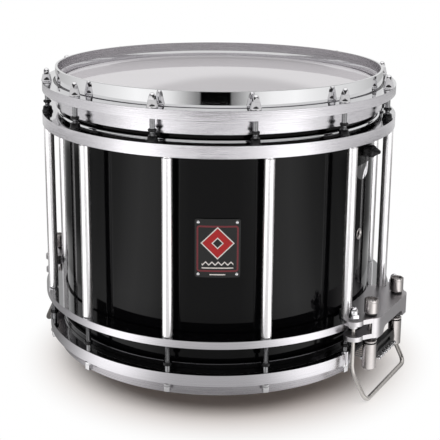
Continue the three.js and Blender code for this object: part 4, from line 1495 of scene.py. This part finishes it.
# The vent is a nickelled grommet at +X that lets air out of the shell. It is rolled over on both
# sides of the wall, and its bore is painted black as painted shade inside the hole.
vent_bore = 3.9
vent_profile = [
    (vent_bore, 168.7), (5.2, 168.7), (5.75, 169.3), (5.75, 170.1), (4.4, 170.1), (4.4, 177.3),
    (6.2, 177.3), (6.4, 177.8), (6.2, 178.4), (5.6, 178.6), (5.0, 178.4), (4.3, 177.7),
    (vent_bore, 176.6),
]
vent = dressed(smoothed(turned("vent_eyelet", vent_profile, 48), 40), nickel, blacked)
# The bore is painted black: painted shade inside the hole.
repainted(vent, 1, lambda radius, z, normal: radius < vent_bore + 0.1)
set_down(vent, 0, 0, vent_level, about_y=pi / 2)
fitted(vent, "root", "chrome_trim", "vent_grommet")

# A chromed shield on the shell at +X houses the upper snare unit. Its neck goes through the shell
# to a guide with a shelf close under the batter film, which carries one end of the upper strands.
shield_inner = 177.3
shield_outer = 179.7
shield_half = 20
shield_rise = 15.3
shield_fall = 12
shield_face_base = upper_knob_level - shield_fall - 3
shield_face_radius = 179
shield_face_turn = 0.97
neck_radius = 5.6
guide_inner = 166.4
guide_outer = 170.4
guide_half = 30
guide_fall = 12
guide_rise = 56.5
guide_top = 317.2
guide_thickness = 3
shelf_start = 150.4
spindle_bore = 2.9
bore_start = 160
bore_end = 184
shield_outline = [
    (shield_half, shield_rise),
    (-shield_half, shield_rise),
    *arc(0, -shield_fall, shield_half, 180, 360, 32),
]
guide_outline = [
    (-guide_half, -guide_fall),
    (guide_half, -guide_fall),
    (guide_half, guide_rise),
    (-guide_half, guide_rise),
]
shield = curved_plate("shield", shield_inner, shield_outer, shield_outline, upper_knob_level)
eased(shield, 1.3, 4, 40)
bpy.ops.object.mode_set(mode="EDIT")
bpy.ops.mesh.select_all(action="SELECT")
bpy.ops.mesh.bisect(plane_co=(0, 0, shield_face_base * mm), plane_no=(0, 0, 1))
bpy.ops.object.mode_set(mode="OBJECT")
dressed(shield, chrome, blacked)
repainted(
    shield,
    1,
    lambda radius, z, normal: normal.x > shield_face_turn
    and radius > shield_face_radius
    and z > shield_face_base,
)
neck = bar_along_x("neck", neck_radius, guide_inner, shield_inner + 1.2, upper_knob_level)
dressed(smoothed(neck, 30), nickel)
guide = curved_plate("guide", guide_inner, guide_outer, guide_outline, upper_knob_level)
dressed(eased(guide, 0.4), nickel)
shelf_limits = (shelf_start, guide_inner + 0.6, -guide_half, guide_half)
shelf = cuboid("guide_shelf", *shelf_limits, guide_top - guide_thickness, guide_top)
dressed(eased(shelf, 0.4), nickel)
housing = joined([shield, neck, guide, shelf], "upper_housing")
bore = bar_along_x("bore", spindle_bore, bore_start, bore_end, upper_knob_level)
combined(housing, bore, "DIFFERENCE")
fitted(housing, "root", "chrome_trim", "upper_snare_housing")

# A black moulded knob with shallow flutes and a pointed cap turns the spindle that stretches the
# upper strands. It stands out from the shield at +X.
grip_start = 180
grip_end = 192.5
grip_radius = 6.9
flute_count = 16
flute_depth = 0.15
cap_radius = 7
tip_radius = 4.9
spindle_radius = 2.5
spindle_start = 157
spindle_end = 182
cap_profile = [
    (0, grip_start),
    (cap_radius - 1.4, grip_start),
    (cap_radius, grip_start + 1.4),
    (cap_radius, grip_end - 3),
    (cap_radius - 0.8, grip_end - 1),
    (cap_radius - 2, grip_end),
    (0, grip_end),
]
tip_profile = [
    (0, grip_end - 1),
    (tip_radius, grip_end - 1),
    (tip_radius, grip_end + 0.2),
    (3.8, grip_end + 1.8),
    (2.4, grip_end + 4.4),
    (1.7, grip_end + 5.7),
    (0, grip_end + 6),
]
spindle_profile = [
    (0, spindle_start),
    (spindle_radius, spindle_start),
    (spindle_radius, spindle_end),
    (0, spindle_end),
]
moulded, tree, shader, place = new_look("black_moulding", (0.006, 0.006, 0.007), 0, 0.2, 1.35)
pitted = noise(tree, place, 650, 3)
roughened(tree, shader, pitted, 0.16, 0.26)
bumped(tree, shader, pitted, 0.00001)
fluted = []
for k in range(flute_count * 4):
    angle = k * 2 * pi / (flute_count * 4)
    reach = grip_radius - flute_depth * (1 - cos(flute_count * angle))
    fluted.append((reach * cos(angle), reach * sin(angle)))
grip = raised("grip", fluted, grip_start, grip_end)
combined(grip, turned("grip_cap", cap_profile, 48), "INTERSECT")
dressed(smoothed(grip, 32), moulded)
tip = dressed(smoothed(turned("tip", tip_profile, 32), 35), moulded)
spindle = dressed(smoothed(turned("spindle", spindle_profile, 24), 35), nickel)
upper_knob = joined([grip, tip, spindle], "tension_knob")
set_down(upper_knob, 0, 0, upper_knob_level, about_y=pi / 2)
fitted(upper_knob, "upper_snare_knob", "knob_black", "upper_snare_knob")

# The strands of the upper unit and the rest that holds their far end are hidden between the batter
# film and the shell. Their own solids stay, with the finishes of the lower set.
dressed(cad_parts["upper_snare_strands"], twisted)
dressed(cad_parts["upper_snare_rest"], nickel)

low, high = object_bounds()
